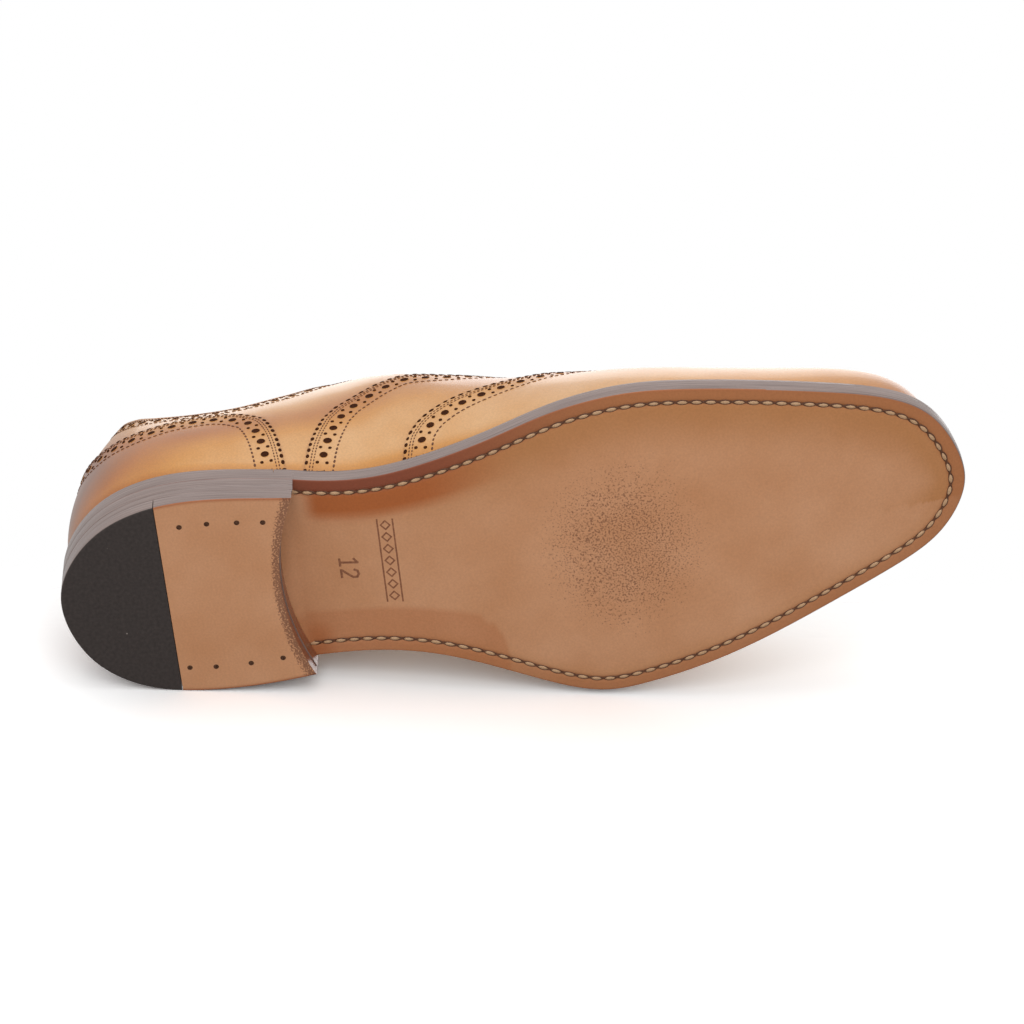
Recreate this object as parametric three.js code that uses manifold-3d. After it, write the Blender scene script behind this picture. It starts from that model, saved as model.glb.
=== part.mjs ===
// A left full-brogue oxford shoe with a leather sole, standing upright on its heel and ball.
// Millimetres. +Z is up, the toe points to -Y, and +X is the lateral (outer) side of the foot.
// The origin is under the middle of the shoe, on the ground.
// Stations are measured along the shoe: 0 at the back of the heel, LENGTH at the tip of the toe.
import * as THREE from 'three';
import { mergeVertices } from 'three/addons/utils/BufferGeometryUtils.js';
import Module from 'manifold-3d';

const wasm = await Module();
wasm.setup();

// ---- Driving dimensions ----------------------------------------------------------------
const LENGTH = 315;
const GAP = 0.3;

const OUTSOLE = 4.2;
const WELT_TOP = 7;
const WELT_WIDTH = 9.7;
const INSOLE = 3;
const INSOLE_INSET = 5.6;
const SOCK = 1.2;
const SHANK = { from: 80, to: 152, halfWidth: 8, thick: 1.6 };

const TOP_PIECE = 5;
const LIFT = 3.3;
const HEEL_AT_BREAST = 12.5;
const HEEL_RISE = 2;
const BREAST_Q = 0.289;
const BREAST_BOW = -8;
const TIP_Q = 0.158;
const NAIL_QS = { medial: [0.178, 0.207, 0.237, 0.262], lateral: [0.1655, 0.193, 0.229, 0.262] };
const NAIL = { r: 1.25, long: 2.55, sunk: 0.05, inset: 9.8 };

const LEATHER = 1.2;
const STIFFENER_OUTSIDE = -1.9;
const STIFFENER_INSIDE = -2.7;
const LINING_OUTSIDE = -3.6;
const LINING_INSIDE = -4.4;

const THROAT_Q = 0.57;
const EYELET_QS = [0.43, 0.455, 0.48, 0.505, 0.53];
const EYELET_V = 0.93;
const HOLE_R = 2.5;
const LACE_R = 0.9;
const LACE_OVER = 1.5;
const LACE_UNDER = -7;
const TONGUE_OUTSIDE = -8.7;
const TONGUE_INSIDE = -10;

// Outline of the sole, seen from above: [station, x], from the back of the heel along the
// medial side to the toe, and back along the lateral side.
const OUTLINE = [
  [0, 3], [5, -14.5], [19, -28.5], [40, -35.5], [64, -35.5], [88, -33], [110, -33.5], [132, -39],
  [154, -47], [176, -55.5], [200, -60], [224, -59], [247, -55.5], [270, -50.5], [290, -44],
  [305, -33], [313.5, -16], [314, -1], [305, 13.5], [289, 23.5], [267, 33.5], [245, 43.5],
  [222, 52.5], [200, 58.5], [182, 60], [164, 54.5], [144, 46], [122, 39.5], [98, 38.5],
  [72, 41.5], [46, 42], [24, 37.5], [7, 24],
];

// The upper's top edge and ridge. q runs 0 to 1 along the side, from heel to toe, and each
// line is [q, station, half width of the opening, height].
const CREST = [
  [0, 16, 0, 107], [0.02, 16.4, 6.2, 105.5], [0.043, 18.6, 12.5, 99.5], [0.087, 26, 21.5, 88],
  [0.13, 34, 26, 80], [0.174, 46, 28.5, 75.5], [0.232, 63, 29.5, 75.5], [0.29, 80, 27.5, 84],
  [0.342, 95, 22, 97.5], [0.375, 104, 14, 108.5], [0.4, 111.5, 5, 114], [0.45, 132.5, 2.6, 105], [0.522, 158, 2, 90],
  [0.57, 173, 1.2, 81], [0.623, 190, 0, 72], [0.71, 217, 0, 62], [0.783, 236, 0, 57.5],
  [0.855, 251, 0, 54.5], [0.928, 261, 0, 52.7], [1, 266, 0, 51.7],
];

// How far the side swells past its foot, how full the forepart's section is, and how late
// the quarter leans in: [q, value].
const SWELL = [[0, 2.2], [0.1, 2.4], [0.25, 3.5], [0.4, 4.6], [0.55, 1.2], [0.7, 0.3], [1, 0.8]];
const FULLNESS = [[0, 1.95], [0.66, 1.95], [0.76, 2.2], [0.9, 3], [1, 3]];
const LEAN = [[0, 2.2], [0.22, 2.4], [0.36, 4], [0.46, 3.4], [1, 3.4]];

// Seams. The heel counter's top edge is [q, v], v being 0 at the welt and 1 at the top edge.
// The rear edges of the vamp and of the wing cap are [v, q].
const COUNTER_TOP = [
  [0, 0.6], [0.09, 0.62], [0.13, 0.67], [0.165, 0.75], [0.2, 0.78], [0.228, 0.74],
  [0.25, 0.63], [0.265, 0.5], [0.276, 0.26], [0.284, 0],
];
const VAMP_REAR = [
  [0, 0.3], [0.22, 0.307], [0.34, 0.314], [0.45, 0.325], [0.52, 0.342], [0.57, 0.375],
  [0.61, 0.425], [0.67, 0.49], [0.8, 0.55], [1, 0.578],
];
const CAP_REAR = [
  [0, 0.395], [0.14, 0.406], [0.24, 0.427], [0.33, 0.46], [0.39, 0.5], [0.45, 0.55], [0.54, 0.6],
  [0.68, 0.65], [0.83, 0.688], [0.93, 0.685], [1, 0.655],
];

// ---- Curves ----------------------------------------------------------------------------
const mix = (a, b, t) => a + (b - a) * t;

function ease(from, to, t) {
  const k = Math.min(Math.max((t - from) / (to - from), 0), 1);
  return k * k * (3 - 2 * k);
}

// A smooth curve through [t, value, value...] knots, read in one column.
function through(knots, t, column = 1) {
  const last = knots.length - 1;
  const clamped = Math.min(Math.max(t, knots[0][0]), knots[last][0]);
  const rate = (i) => (knots[i + 1][column] - knots[i][column]) / (knots[i + 1][0] - knots[i][0]);
  const slope = (i) => {
    if (i === 0) return rate(0);
    if (i === last) return rate(last - 1);
    const before = knots[i][0] - knots[i - 1][0];
    const after = knots[i + 1][0] - knots[i][0];
    return (rate(i - 1) * after + rate(i) * before) / (before + after);
  };
  let i = 0;
  while (i < last - 1 && knots[i + 1][0] <= clamped) i += 1;
  const h = knots[i + 1][0] - knots[i][0];
  const u = (clamped - knots[i][0]) / h;
  return (2 * u ** 3 - 3 * u ** 2 + 1) * knots[i][column] + (u ** 3 - 2 * u ** 2 + u) * h * slope(i)
    + (3 * u ** 2 - 2 * u ** 3) * knots[i + 1][column] + (u ** 3 - u ** 2) * h * slope(i + 1);
}

// The two sides of the outline, each as points evenly met from heel to toe.
function outlineSides() {
  const count = OUTLINE.length;
  const hull = OUTLINE.map((p) => [...p]);
  for (let pass = 0; pass < 40; pass += 1) {
    for (let i = 0; i < count; i += 1) {
      for (const k of [0, 1]) {
        const pull = hull[(i + count - 1) % count][k] + hull[(i + 1) % count][k];
        hull[i][k] = 1.5 * OUTLINE[i][k] - 0.25 * pull;
      }
    }
  }
  const samples = 1200;
  const edgeLine = [];
  for (let n = 0; n < samples; n += 1) {
    const t = (n / samples) * count;
    const i = Math.floor(t);
    const f = t - i;
    const weights = [(1 - f) ** 3, 3 * f ** 3 - 6 * f ** 2 + 4, 1 + 3 * f + 3 * f ** 2 - 3 * f ** 3, f ** 3];
    const point = [0, 0];
    weights.forEach((weight, w) => {
      const p = hull[(i + w + count - 1) % count];
      point[0] += (weight * p[0]) / 6;
      point[1] += (weight * p[1]) / 6;
    });
    edgeLine.push(point);
  }
  const walls = edgeLine.map((p, n) => {
    const ahead = edgeLine[(n + 1) % samples];
    const behind = edgeLine[(n + samples - 1) % samples];
    const size = Math.hypot(ahead[0] - behind[0], ahead[1] - behind[1]);
    return { s: p[0], x: p[1], ns: (ahead[1] - behind[1]) / size, nx: (behind[0] - ahead[0]) / size };
  });
  const toe = walls.reduce((best, p, n) => (p.s > walls[best].s ? n : best), 0);
  const medial = walls.slice(0, toe + 1);
  const lateral = [walls[0], ...walls.slice(toe).reverse()];
  return { '-1': withLengths(medial), 1: withLengths(lateral) };
}

function withLengths(line) {
  let run = 0;
  const runs = line.map((p, i) => {
    if (i > 0) run += Math.hypot(p.s - line[i - 1].s, p.x - line[i - 1].x);
    return run;
  });
  return line.map((p, i) => ({ ...p, q: runs[i] / run }));
}

const SIDES = outlineSides();

// The point of the outline at q on one side (-1 medial, 1 lateral), moved in by inset.
function edge(side, q, inset = 0) {
  const line = SIDES[side];
  let low = 0;
  let high = line.length - 1;
  while (high - low > 1) {
    const middle = (low + high) >> 1;
    if (line[middle].q <= q) low = middle;
    else high = middle;
  }
  const a = line[low];
  const b = line[high];
  const t = (q - a.q) / (b.q - a.q);
  const ns = mix(a.ns, b.ns, t);
  const nx = mix(a.nx, b.nx, t);
  const size = Math.hypot(ns, nx);
  return {
    s: mix(a.s, b.s, t) - (ns / size) * inset,
    x: mix(a.x, b.x, t) - (nx / size) * inset,
    ns: ns / size,
    nx: nx / size,
  };
}

// Height of the sole's underside: heel seat, waist, ball, toe spring and a slight crown.
function soleZ(s, x) {
  const breast = 82;
  const ball = 193;
  const springStart = 212;
  const heel = HEEL_AT_BREAST + (HEEL_RISE * (breast - s)) / breast;
  const waist = HEEL_AT_BREAST * (1 - Math.min((s - breast) / (ball - breast), 1)) ** 1.6;
  const spring = 11.5 * Math.min(Math.max((s - springStart) / (LENGTH - springStart), 0), 1) ** 2;
  const crown = 1.5 * (x / 58) ** 2 * ease(110, 180, s);
  return (s < breast ? heel : waist) + spring + crown;
}

const at = (s, x, z) => new THREE.Vector3(x, LENGTH / 2 - s, z);
const margin = (q) => 2.2 + 3.3 * ease(0.36, 0.55, q);
const ridgeX = (s) => 3 - 8.5 * ease(120, 270, s);

// The outside of the upper at q along the side and v up it.
function upper(side, q, v) {
  const foot = edge(side, q, margin(q));
  const footZ = soleZ(foot.s, foot.x) + WELT_TOP + GAP;
  const topS = through(CREST, q, 1);
  const half = q <= THROAT_Q ? through(CREST, q, 2) : 0;
  const topX = ridgeX(topS) + side * half;
  const topZ = through(CREST, q, 3);
  const angle = (v * Math.PI) / 2;
  const power = 2 / through(FULLNESS, q);
  const forepart = ease(0.42, 0.6, q);
  const rise = mix(v, Math.sin(angle) ** power, forepart);
  const lean = mix(v ** through(LEAN, q), 1 - Math.max(Math.cos(angle), 0) ** power, forepart);
  const swell = through(SWELL, q) * Math.sin(Math.PI * v ** 0.7);
  return at(
    mix(foot.s, topS, lean) + foot.ns * swell,
    mix(foot.x, topX, lean) + foot.nx * swell,
    mix(footZ, topZ, rise),
  );
}

function upperNormal(side, q, v) {
  const step = 0.002;
  const along = upper(side, q + step, v).sub(upper(side, q - step, v));
  const up = upper(side, q, Math.min(v + step, 1)).sub(upper(side, q, Math.max(v - step, 0)));
  return along.cross(up).normalize().multiplyScalar(-side);
}

// ---- Solids ----------------------------------------------------------------------------
// A closed solid from grids of { a, b } pairs: a is the outer face, b the inner one. Grids
// that share outer points are joined, and every free edge gets a wall.
function solid(grids) {
  const found = new Map();
  const outer = [];
  const inner = [];
  const faces = [];
  const indexOf = ({ a, b }) => {
    const key = a.toArray().map((value) => Math.round(value * 500)).join();
    if (!found.has(key)) {
      found.set(key, outer.length);
      outer.push(a);
      inner.push(b);
    }
    return found.get(key);
  };
  for (const grid of grids) {
    const ids = grid.map((row) => row.map(indexOf));
    for (let i = 0; i + 1 < ids.length; i += 1) {
      for (let j = 0; j + 1 < ids[i].length; j += 1) {
        faces.push([ids[i][j], ids[i + 1][j], ids[i + 1][j + 1]]);
        faces.push([ids[i][j], ids[i + 1][j + 1], ids[i][j + 1]]);
      }
    }
  }
  const whole = faces.filter(([p, q, r]) => p !== q && q !== r && r !== p);
  const edges = new Set(whole.flatMap(([p, q, r]) => [`${p},${q}`, `${q},${r}`, `${r},${p}`]));
  const shift = outer.length;
  const index = [];
  for (const [p, q, r] of whole) index.push(p, q, r, p + shift, r + shift, q + shift);
  for (const name of edges) {
    const [p, q] = name.split(',').map(Number);
    if (!edges.has(`${q},${p}`)) index.push(q, p, p + shift, q, p + shift, q + shift);
  }
  const geometry = new THREE.BufferGeometry();
  const positions = [...outer, ...inner].flatMap((p) => p.toArray());
  geometry.setAttribute('position', new THREE.Float32BufferAttribute(positions, 3));
  geometry.setIndex(index);
  return geometry;
}

// A layer of the upper between two depths, from grids of [side, q, v] places.
function layer(grids, outside, inside) {
  return solid(grids.map((grid) => grid.map((row) => row.map(([side, q, v]) => {
    const point = upper(side, q, v);
    const normal = upperNormal(side, q, v);
    const onRidge = v > 0.999 && q > THROAT_Q;
    if (onRidge || q > 0.999 || q < 0.001) normal.add(upperNormal(-side, q, v));
    if (v < 0.001) normal.z = 0;
    normal.normalize();
    return {
      a: point.clone().addScaledVector(normal, outside),
      b: point.clone().addScaledVector(normal, inside),
    };
  }))));
}

// Evenly spaced values, and values that crowd towards the far end, where the panel curves most.
const steps = (from, to, count) => Array.from({ length: count + 1 }, (_, i) => mix(from, to, i / count));
const climb = (from, to, count) => steps(0, 1, count).map((t) => mix(from, to, 1 - (1 - t) ** 1.5));

// A panel swept by columns: at each q it runs from low(q) to high(q) up the side.
function columns(side, qs, low, high, rows) {
  const grid = qs.map((q) => climb(low(q), high(q), rows).map((v) => [side, q, v]));
  return side < 0 ? grid : grid.reverse();
}

// A panel swept by rows: at each v it runs from back(v) to front(v) along the side.
function bands(side, vs, back, front, cells) {
  const rows = vs.map((v) => steps(back(v), front(v), cells).map((q) => [side, q, v]));
  const grid = rows[0].map((_, j) => rows.map((row) => row[j]));
  return side < 0 ? grid : grid.reverse();
}

// A plate that follows the sole between two q stations, across the whole width.
// bow moves the middle of its front edge back or forward.
function plate({ from, to, rows, across, inset, bottom, top, bow = 0 }) {
  const grid = steps(from, to, rows).map((q, i) => {
    const m = edge(-1, q, inset(q));
    const l = edge(1, q, inset(q));
    const bend = bow * (i / rows) ** 2;
    return steps(0, 1, across).map((c) => {
      const s = mix(m.s, l.s, c) + bend * (1 - (2 * c - 1) ** 2);
      const x = mix(m.x, l.x, c);
      return { a: at(s, x, top(s, x)), b: at(s, x, bottom(s, x)) };
    });
  });
  return solid([grid]);
}

// A strip around the edge of the sole, along the medial side, round an end, and back.
function rim(from, to, count, outerInset, innerInset, bottom, top) {
  const path = [...steps(from, to, count).map((q) => [-1, q]), ...steps(to, from, count).map((q) => [1, q])];
  const grid = path.map(([side, q]) => [outerInset, innerInset].map((inset) => {
    const p = edge(side, q, inset);
    return { a: at(p.s, p.x, soleZ(p.s, p.x) + top), b: at(p.s, p.x, soleZ(p.s, p.x) + bottom) };
  }));
  return solid([to > from ? grid : grid.reverse()]);
}

function asManifold(geometry) {
  const bare = geometry.clone();
  bare.deleteAttribute('normal');
  bare.deleteAttribute('uv');
  const merged = mergeVertices(bare, 1e-4);
  return new wasm.Manifold(new wasm.Mesh({
    numProp: 3,
    vertProperties: new Float32Array(merged.attributes.position.array),
    triVerts: new Uint32Array(merged.index.array),
  }));
}

function asGeometry(body) {
  const mesh = body.getMesh();
  const geometry = new THREE.BufferGeometry();
  geometry.setAttribute('position', new THREE.Float32BufferAttribute(mesh.vertProperties, 3));
  geometry.setIndex([...mesh.triVerts]);
  return geometry;
}

const shoe = new THREE.Group();

const FINISH = {
  calf: { color: 0xc98a45, roughness: 0.32 },
  lining: { color: 0xc9a06e, roughness: 0.7 },
  soleLeather: { color: 0xb87c58, roughness: 0.5 },
  edgeDressing: { color: 0x6b5650, roughness: 0.45 },
  rubber: { color: 0x3a3230, roughness: 0.7 },
  fibre: { color: 0x8a6a4c, roughness: 0.8 },
  cork: { color: 0xa5794e, roughness: 0.95 },
  steel: { color: 0x7d7f83, roughness: 0.4, metalness: 1 },
  brass: { color: 0x6d4a30, roughness: 0.4, metalness: 1 },
  cotton: { color: 0x5a3a22, roughness: 0.8 },
};

function add(name, geometry, finish) {
  const mesh = new THREE.Mesh(geometry, new THREE.MeshStandardMaterial(finish));
  mesh.name = name;
  shoe.add(mesh);
}

// ---- Sole ------------------------------------------------------------------------------
function addSole() {
  const flush = () => 0;
  add('outsole', plate({
    from: 0, to: 1, rows: 48, across: 4, inset: flush,
    bottom: soleZ, top: (s, x) => soleZ(s, x) + OUTSOLE,
  }), FINISH.soleLeather);
  const weltQ = 0.272;
  const onSole = OUTSOLE + GAP;
  const weltInner = GAP + WELT_WIDTH;
  add('welt', rim(weltQ, 1, 34, GAP, weltInner, onSole, WELT_TOP), FINISH.edgeDressing);
  add('heel_rand', rim(weltQ - 0.002, 0, 16, GAP, weltInner - 1, onSole, WELT_TOP), FINISH.edgeDressing);
  const inWelt = () => weltInner + 2 * GAP;
  add('cork_filler', plate({
    from: 0.5, to: 0.955, rows: 16, across: 2, inset: inWelt,
    bottom: (s, x) => soleZ(s, x) + onSole, top: (s, x) => soleZ(s, x) + WELT_TOP - 0.1,
  }), FINISH.cork);
  add('heel_seat_filler', plate({
    from: 0.05, to: 0.235, rows: 8, across: 2, inset: inWelt,
    bottom: (s, x) => soleZ(s, x) + onSole, top: (s, x) => soleZ(s, x) + WELT_TOP - 0.1,
  }), FINISH.fibre);
  const insoleFloor = WELT_TOP + GAP;
  add('insole', plate({
    from: 0, to: 1, rows: 28, across: 2, inset: (q) => margin(q) + INSOLE_INSET,
    bottom: (s, x) => soleZ(s, x) + insoleFloor, top: (s, x) => soleZ(s, x) + insoleFloor + INSOLE,
  }), FINISH.fibre);
  const sockFloor = insoleFloor + INSOLE + GAP;
  add('heel_sock', plate({
    from: 0, to: 0.4, rows: 14, across: 2, inset: (q) => margin(q) + INSOLE_INSET + 1,
    bottom: (s, x) => soleZ(s, x) + sockFloor, top: (s, x) => soleZ(s, x) + sockFloor + SOCK,
  }), FINISH.lining);
}

// A spring-steel strip that bridges the waist between the heel seat and the cork.
function addShank() {
  const { from, to, halfWidth, thick } = SHANK;
  const grid = steps(from, to, 12).map((s) => [-halfWidth, halfWidth].map((offset) => {
    const x = ridgeX(s) + offset;
    const floor = soleZ(s, x) + OUTSOLE + 2 * GAP;
    return { a: at(s, x, floor + thick), b: at(s, x, floor) };
  }));
  add('shank', solid([grid]), FINISH.steel);
}

// ---- Heel ------------------------------------------------------------------------------
function addHeel() {
  const block = { from: 0, rows: 16, across: 4, bow: BREAST_BOW };
  const flat = (height) => () => height;
  add('rubber_quarter_tip', plate({
    from: 0, to: TIP_Q, rows: 10, across: 2, inset: () => 0, bottom: flat(0), top: flat(TOP_PIECE),
  }), FINISH.rubber);
  const leather = asManifold(plate({
    from: TIP_Q + 0.0012, to: BREAST_Q, rows: 6, across: 6, inset: () => 0,
    bottom: flat(0), top: flat(TOP_PIECE), bow: BREAST_BOW,
  }));
  const nails = nailPlaces();
  const nailTop = NAIL.sunk + NAIL.long;
  const holes = nails.map(([x, y]) => asManifold(pin(x, y, NAIL.r + GAP, -1, nailTop + GAP)));
  const drilled = holes.reduce((body, hole) => body.subtract(hole), leather);
  add('leather_top_piece', asGeometry(drilled), FINISH.soleLeather);
  nails.forEach(([x, y], i) => {
    add(`top_piece_nail_${i + 1}`, pin(x, y, NAIL.r, NAIL.sunk, nailTop), FINISH.brass);
  });
  const first = TOP_PIECE + GAP;
  const second = first + LIFT + GAP;
  add('heel_lift_1', plate({
    ...block, to: BREAST_Q + 0.0006, inset: () => 0.1, bottom: flat(first), top: flat(first + LIFT),
  }), FINISH.edgeDressing);
  add('heel_lift_2', plate({
    ...block, to: BREAST_Q + 0.0012, inset: () => 0, bottom: flat(second),
    top: (s, x) => soleZ(s, x) - GAP,
  }), FINISH.edgeDressing);
}

// Nail centres in two rows along the sides of the leather top piece.
function nailPlaces() {
  const places = [];
  for (const side of [-1, 1]) {
    for (const q of side < 0 ? NAIL_QS.medial : NAIL_QS.lateral) {
      const p = edge(side, q, NAIL.inset);
      places.push([p.x, LENGTH / 2 - p.s]);
    }
  }
  return places;
}

// An upright pin of radius r between two heights.
function pin(x, y, r, low, high) {
  const geometry = new THREE.CylinderGeometry(r, r, high - low, 10);
  geometry.rotateX(Math.PI / 2);
  geometry.translate(x, y, (low + high) / 2);
  return geometry;
}

// ---- Upper -----------------------------------------------------------------------------
const both = (make) => [make(-1), make(1)];
const SEAM = 0.0016;

function addUpper() {
  const vampRear = (v) => through(VAMP_REAR, v);
  const capRear = (v) => through(CAP_REAR, v);
  const capRows = [...steps(0, 0.5, 5), ...steps(0.54, 0.74, 5), ...steps(0.8, 1, 2)];
  const capPanels = both((side) => bands(side, capRows, capRear, () => 1, 16));
  add('wing_cap', layer(capPanels, 0, -LEATHER), FINISH.calf);
  const vampBack = (v) => (v > 0.99 ? THROAT_Q + 2 * SEAM : vampRear(v));
  add('vamp', layer(
    both((side) => bands(side, capRows, vampBack, (v) => capRear(v) - SEAM, 9)), 0, -LEATHER,
  ), FINISH.calf);

  const counterTop = (q) => through(COUNTER_TOP, q);
  const counterQs = [...steps(0, 0.24, 12), ...steps(0.252, 0.28, 4), 0.2825];
  add('heel_counter_cover', layer(
    both((side) => columns(side, counterQs, () => 0, counterTop, 5)), 0, -LEATHER,
  ), FINISH.calf);

  const vampAt = inverse(vampRear);
  const quarterLow = (q) => {
    if (q < 0.2845) return counterTop(q) + 0.008;
    if (q < 0.298) return 0;
    return Math.min(vampAt(q + 5 * SEAM), 0.985);
  };
  const quarterQs = [
    0.004, ...steps(0.015, 0.24, 11), ...steps(0.252, 0.28, 4), 0.2842, 0.2855, 0.296,
    ...steps(0.301, 0.328, 5), ...steps(0.338, 0.565, 16),
  ];
  for (const [side, name] of [[-1, 'medial'], [1, 'lateral']]) {
    const quarter = layer([columns(side, quarterQs, quarterLow, () => 1, 6)], 0, -LEATHER);
    add(`${name}_quarter`, withEyeletHoles(quarter, side), FINISH.calf);
    const lining = layer([columns(side, [0.008, ...steps(0.02, THROAT_Q, 19)], () => 0, () => 0.985, 6)],
      LINING_OUTSIDE, LINING_INSIDE);
    add(`${name}_quarter_lining`, withEyeletHoles(lining, side), FINISH.lining);
  }
  add('vamp_lining', layer(
    both((side) => bands(side, steps(0, 1, 7), () => THROAT_Q + 3 * SEAM, () => 1, 13)),
    LINING_OUTSIDE, LINING_INSIDE,
  ), FINISH.lining);
  const puffPanels = both((side) => bands(side, steps(0.06, 1, 6), () => 0.82, () => 1, 7));
  add('toe_puff', layer(puffPanels, STIFFENER_OUTSIDE, STIFFENER_INSIDE), FINISH.fibre);
  add('heel_stiffener', layer(
    both((side) => columns(side, steps(0, 0.24, 10), () => 0.04, (q) => counterTop(q) - 0.06, 3)),
    STIFFENER_OUTSIDE, STIFFENER_INSIDE,
  ), FINISH.fibre);
  add('back_tab', layer(
    both((side) => columns(side, steps(0, 0.022, 3), () => 0.86, () => 1.0, 4)), 0.9, GAP,
  ), FINISH.calf);
}

// The v at which a rising curve v -> q reaches a given q.
function inverse(curve) {
  return (q) => {
    let low = 0;
    let high = 1;
    for (let i = 0; i < 30; i += 1) {
      const middle = (low + high) / 2;
      if (curve(middle) < q) low = middle;
      else high = middle;
    }
    return low;
  };
}

// ---- Facing, lace and tongue -----------------------------------------------------------
// A turned piece set on an eyelet's axis, its profile given as [radius, depth] points.
function onEyelet(side, q, profile, turns) {
  const geometry = new THREE.LatheGeometry(profile.map(([r, y]) => new THREE.Vector2(r, y)), turns);
  const up = new THREE.Vector3(0, 1, 0);
  const turn = new THREE.Quaternion().setFromUnitVectors(up, upperNormal(side, q, EYELET_V));
  geometry.applyQuaternion(turn);
  const place = upper(side, q, EYELET_V);
  geometry.translate(place.x, place.y, place.z);
  return geometry;
}

function withEyeletHoles(panel, side) {
  const drill = [[0, -8], [HOLE_R, -8], [HOLE_R, 3], [0, 3]];
  return asGeometry(EYELET_QS.reduce(
    (body, q) => body.subtract(asManifold(onEyelet(side, q, drill, 10))), asManifold(panel),
  ));
}

function addEyelets() {
  const bore = 1.75;
  const tube = 2.2;
  const flange = 3.4;
  const shelf = LINING_INSIDE - 3 * GAP;
  const profile = [
    [bore, shelf - 0.4], [flange, shelf - 0.4], [flange, shelf], [tube, shelf],
    [tube, -0.4], [bore, -0.4], [bore, shelf - 0.4],
  ];
  for (const [side, name] of [[-1, 'medial'], [1, 'lateral']]) {
    EYELET_QS.forEach((q, i) => add(`${name}_eyelet_${i + 1}`, onEyelet(side, q, profile, 10), FINISH.brass));
  }
}

// The lace crosses over the facing in straight bars and climbs from row to row beneath it.
function addLace() {
  const path = [];
  const over = (side, q, v, height) => path.push(
    upper(side, q, v).addScaledVector(upperNormal(side, q, v), height),
  );
  const rows = [...EYELET_QS].reverse();
  const start = -1;
  over(start, rows[0] + 0.012, EYELET_V - 0.01, LACE_UNDER);
  rows.forEach((q, i) => {
    const side = i % 2 === 0 ? start : -start;
    over(side, q, EYELET_V, LACE_UNDER + 1.2);
    over(side, q, EYELET_V, -0.6);
    over(side, q, EYELET_V + 0.012, LACE_OVER - 0.2);
    over(side, q, 0.985, LACE_OVER);
    path.push(barMiddle(q));
    over(-side, q, 0.985, LACE_OVER);
    over(-side, q, EYELET_V + 0.012, LACE_OVER - 0.2);
    over(-side, q, EYELET_V, -0.6);
    over(-side, q, EYELET_V, LACE_UNDER + 1.2);
    const next = i + 1 < rows.length ? (q + rows[i + 1]) / 2 : q - 0.014;
    over(-side, next, EYELET_V - 0.004, LACE_UNDER);
  });
  const curve = new THREE.CatmullRomCurve3(path, false, 'centripetal');
  const section = new THREE.Shape();
  section.absarc(0, 0, LACE_R, 0, Math.PI * 2);
  add('lace', new THREE.ExtrudeGeometry(section, {
    steps: Math.round(path.length * 1.6), curveSegments: 3, bevelEnabled: false, extrudePath: curve,
  }), FINISH.cotton);
}

function barMiddle(q) {
  const sum = upper(-1, q, 1).add(upper(1, q, 1)).multiplyScalar(0.5);
  return sum.addScaledVector(upperNormal(-1, q, 0.99).add(upperNormal(1, q, 0.99)).normalize(), LACE_OVER);
}

// The tongue lies under the facings and stands a little past their top.
function addTongue() {
  const rows = [...steps(0.565, 0.41, 14)].map((q) => tongueRow(q));
  const last = rows.at(-1);
  const before = rows.at(-3);
  for (const reach of [5, 10, 14]) {
    rows.push(last.map((place, j) => {
      const way = place.a.clone().sub(before[j].a).normalize();
      const side = Math.abs(j / (last.length - 1) - 0.5) * 2;
      const shift = reach * (1 - 0.5 * side ** 4 * (reach / 14));
      const sink = new THREE.Vector3(0, 0, -0.25 * reach);
      return {
        a: place.a.clone().addScaledVector(way, shift).add(sink),
        b: place.b.clone().addScaledVector(way, shift).add(sink),
      };
    }));
  }
  add('tongue', solid([rows]), FINISH.calf);
}

function tongueRow(q) {
  const low = mix(0.83, 0.86, ease(0.41, THROAT_Q, q));
  const half = steps(low, 1, 5).map((v) => {
    const normal = upperNormal(-1, q, Math.min(v, 0.99));
    return { point: upper(-1, q, v), normal };
  });
  const other = steps(1, low, 5).map((v) => {
    const normal = upperNormal(1, q, Math.min(v, 0.99));
    return { point: upper(1, q, v), normal };
  });
  const line = [...half, ...other];
  const middle = line.length / 2;
  const top = line[middle - 1].normal.clone().add(line[middle].normal).normalize();
  const eased = line.map(({ point, normal }, i) => {
    const near = 1 - Math.min(Math.abs(i - (line.length - 1) / 2) / 2.5, 1);
    const way = normal.clone().lerp(top, near).normalize();
    return {
      a: point.clone().addScaledVector(way, TONGUE_OUTSIDE),
      b: point.clone().addScaledVector(way, TONGUE_INSIDE),
    };
  });
  return eased.reverse();
}

addSole();
addShank();
addHeel();
addUpper();
addEyelets();
addTongue();
addLace();

export default shoe;
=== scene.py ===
"""The looks of a left full-brogue oxford shoe with a leather sole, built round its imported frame.

Shapes are worked out in millimetres and turned to metres when a mesh is made. The toe points to -Y,
+X is the outer (lateral) side of the foot and the shoe stands on z = 0. Stations run along the shoe,
0 at the back of the heel and LENGTH at the tip of the toe; q runs 0 to 1 along one side of the
sole's outline from heel to toe, and v runs 0 to 1 up the side of the upper from the welt.
"""
import math

import bmesh
import bpy
import numpy as np
from mathutils import Matrix, Vector


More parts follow.
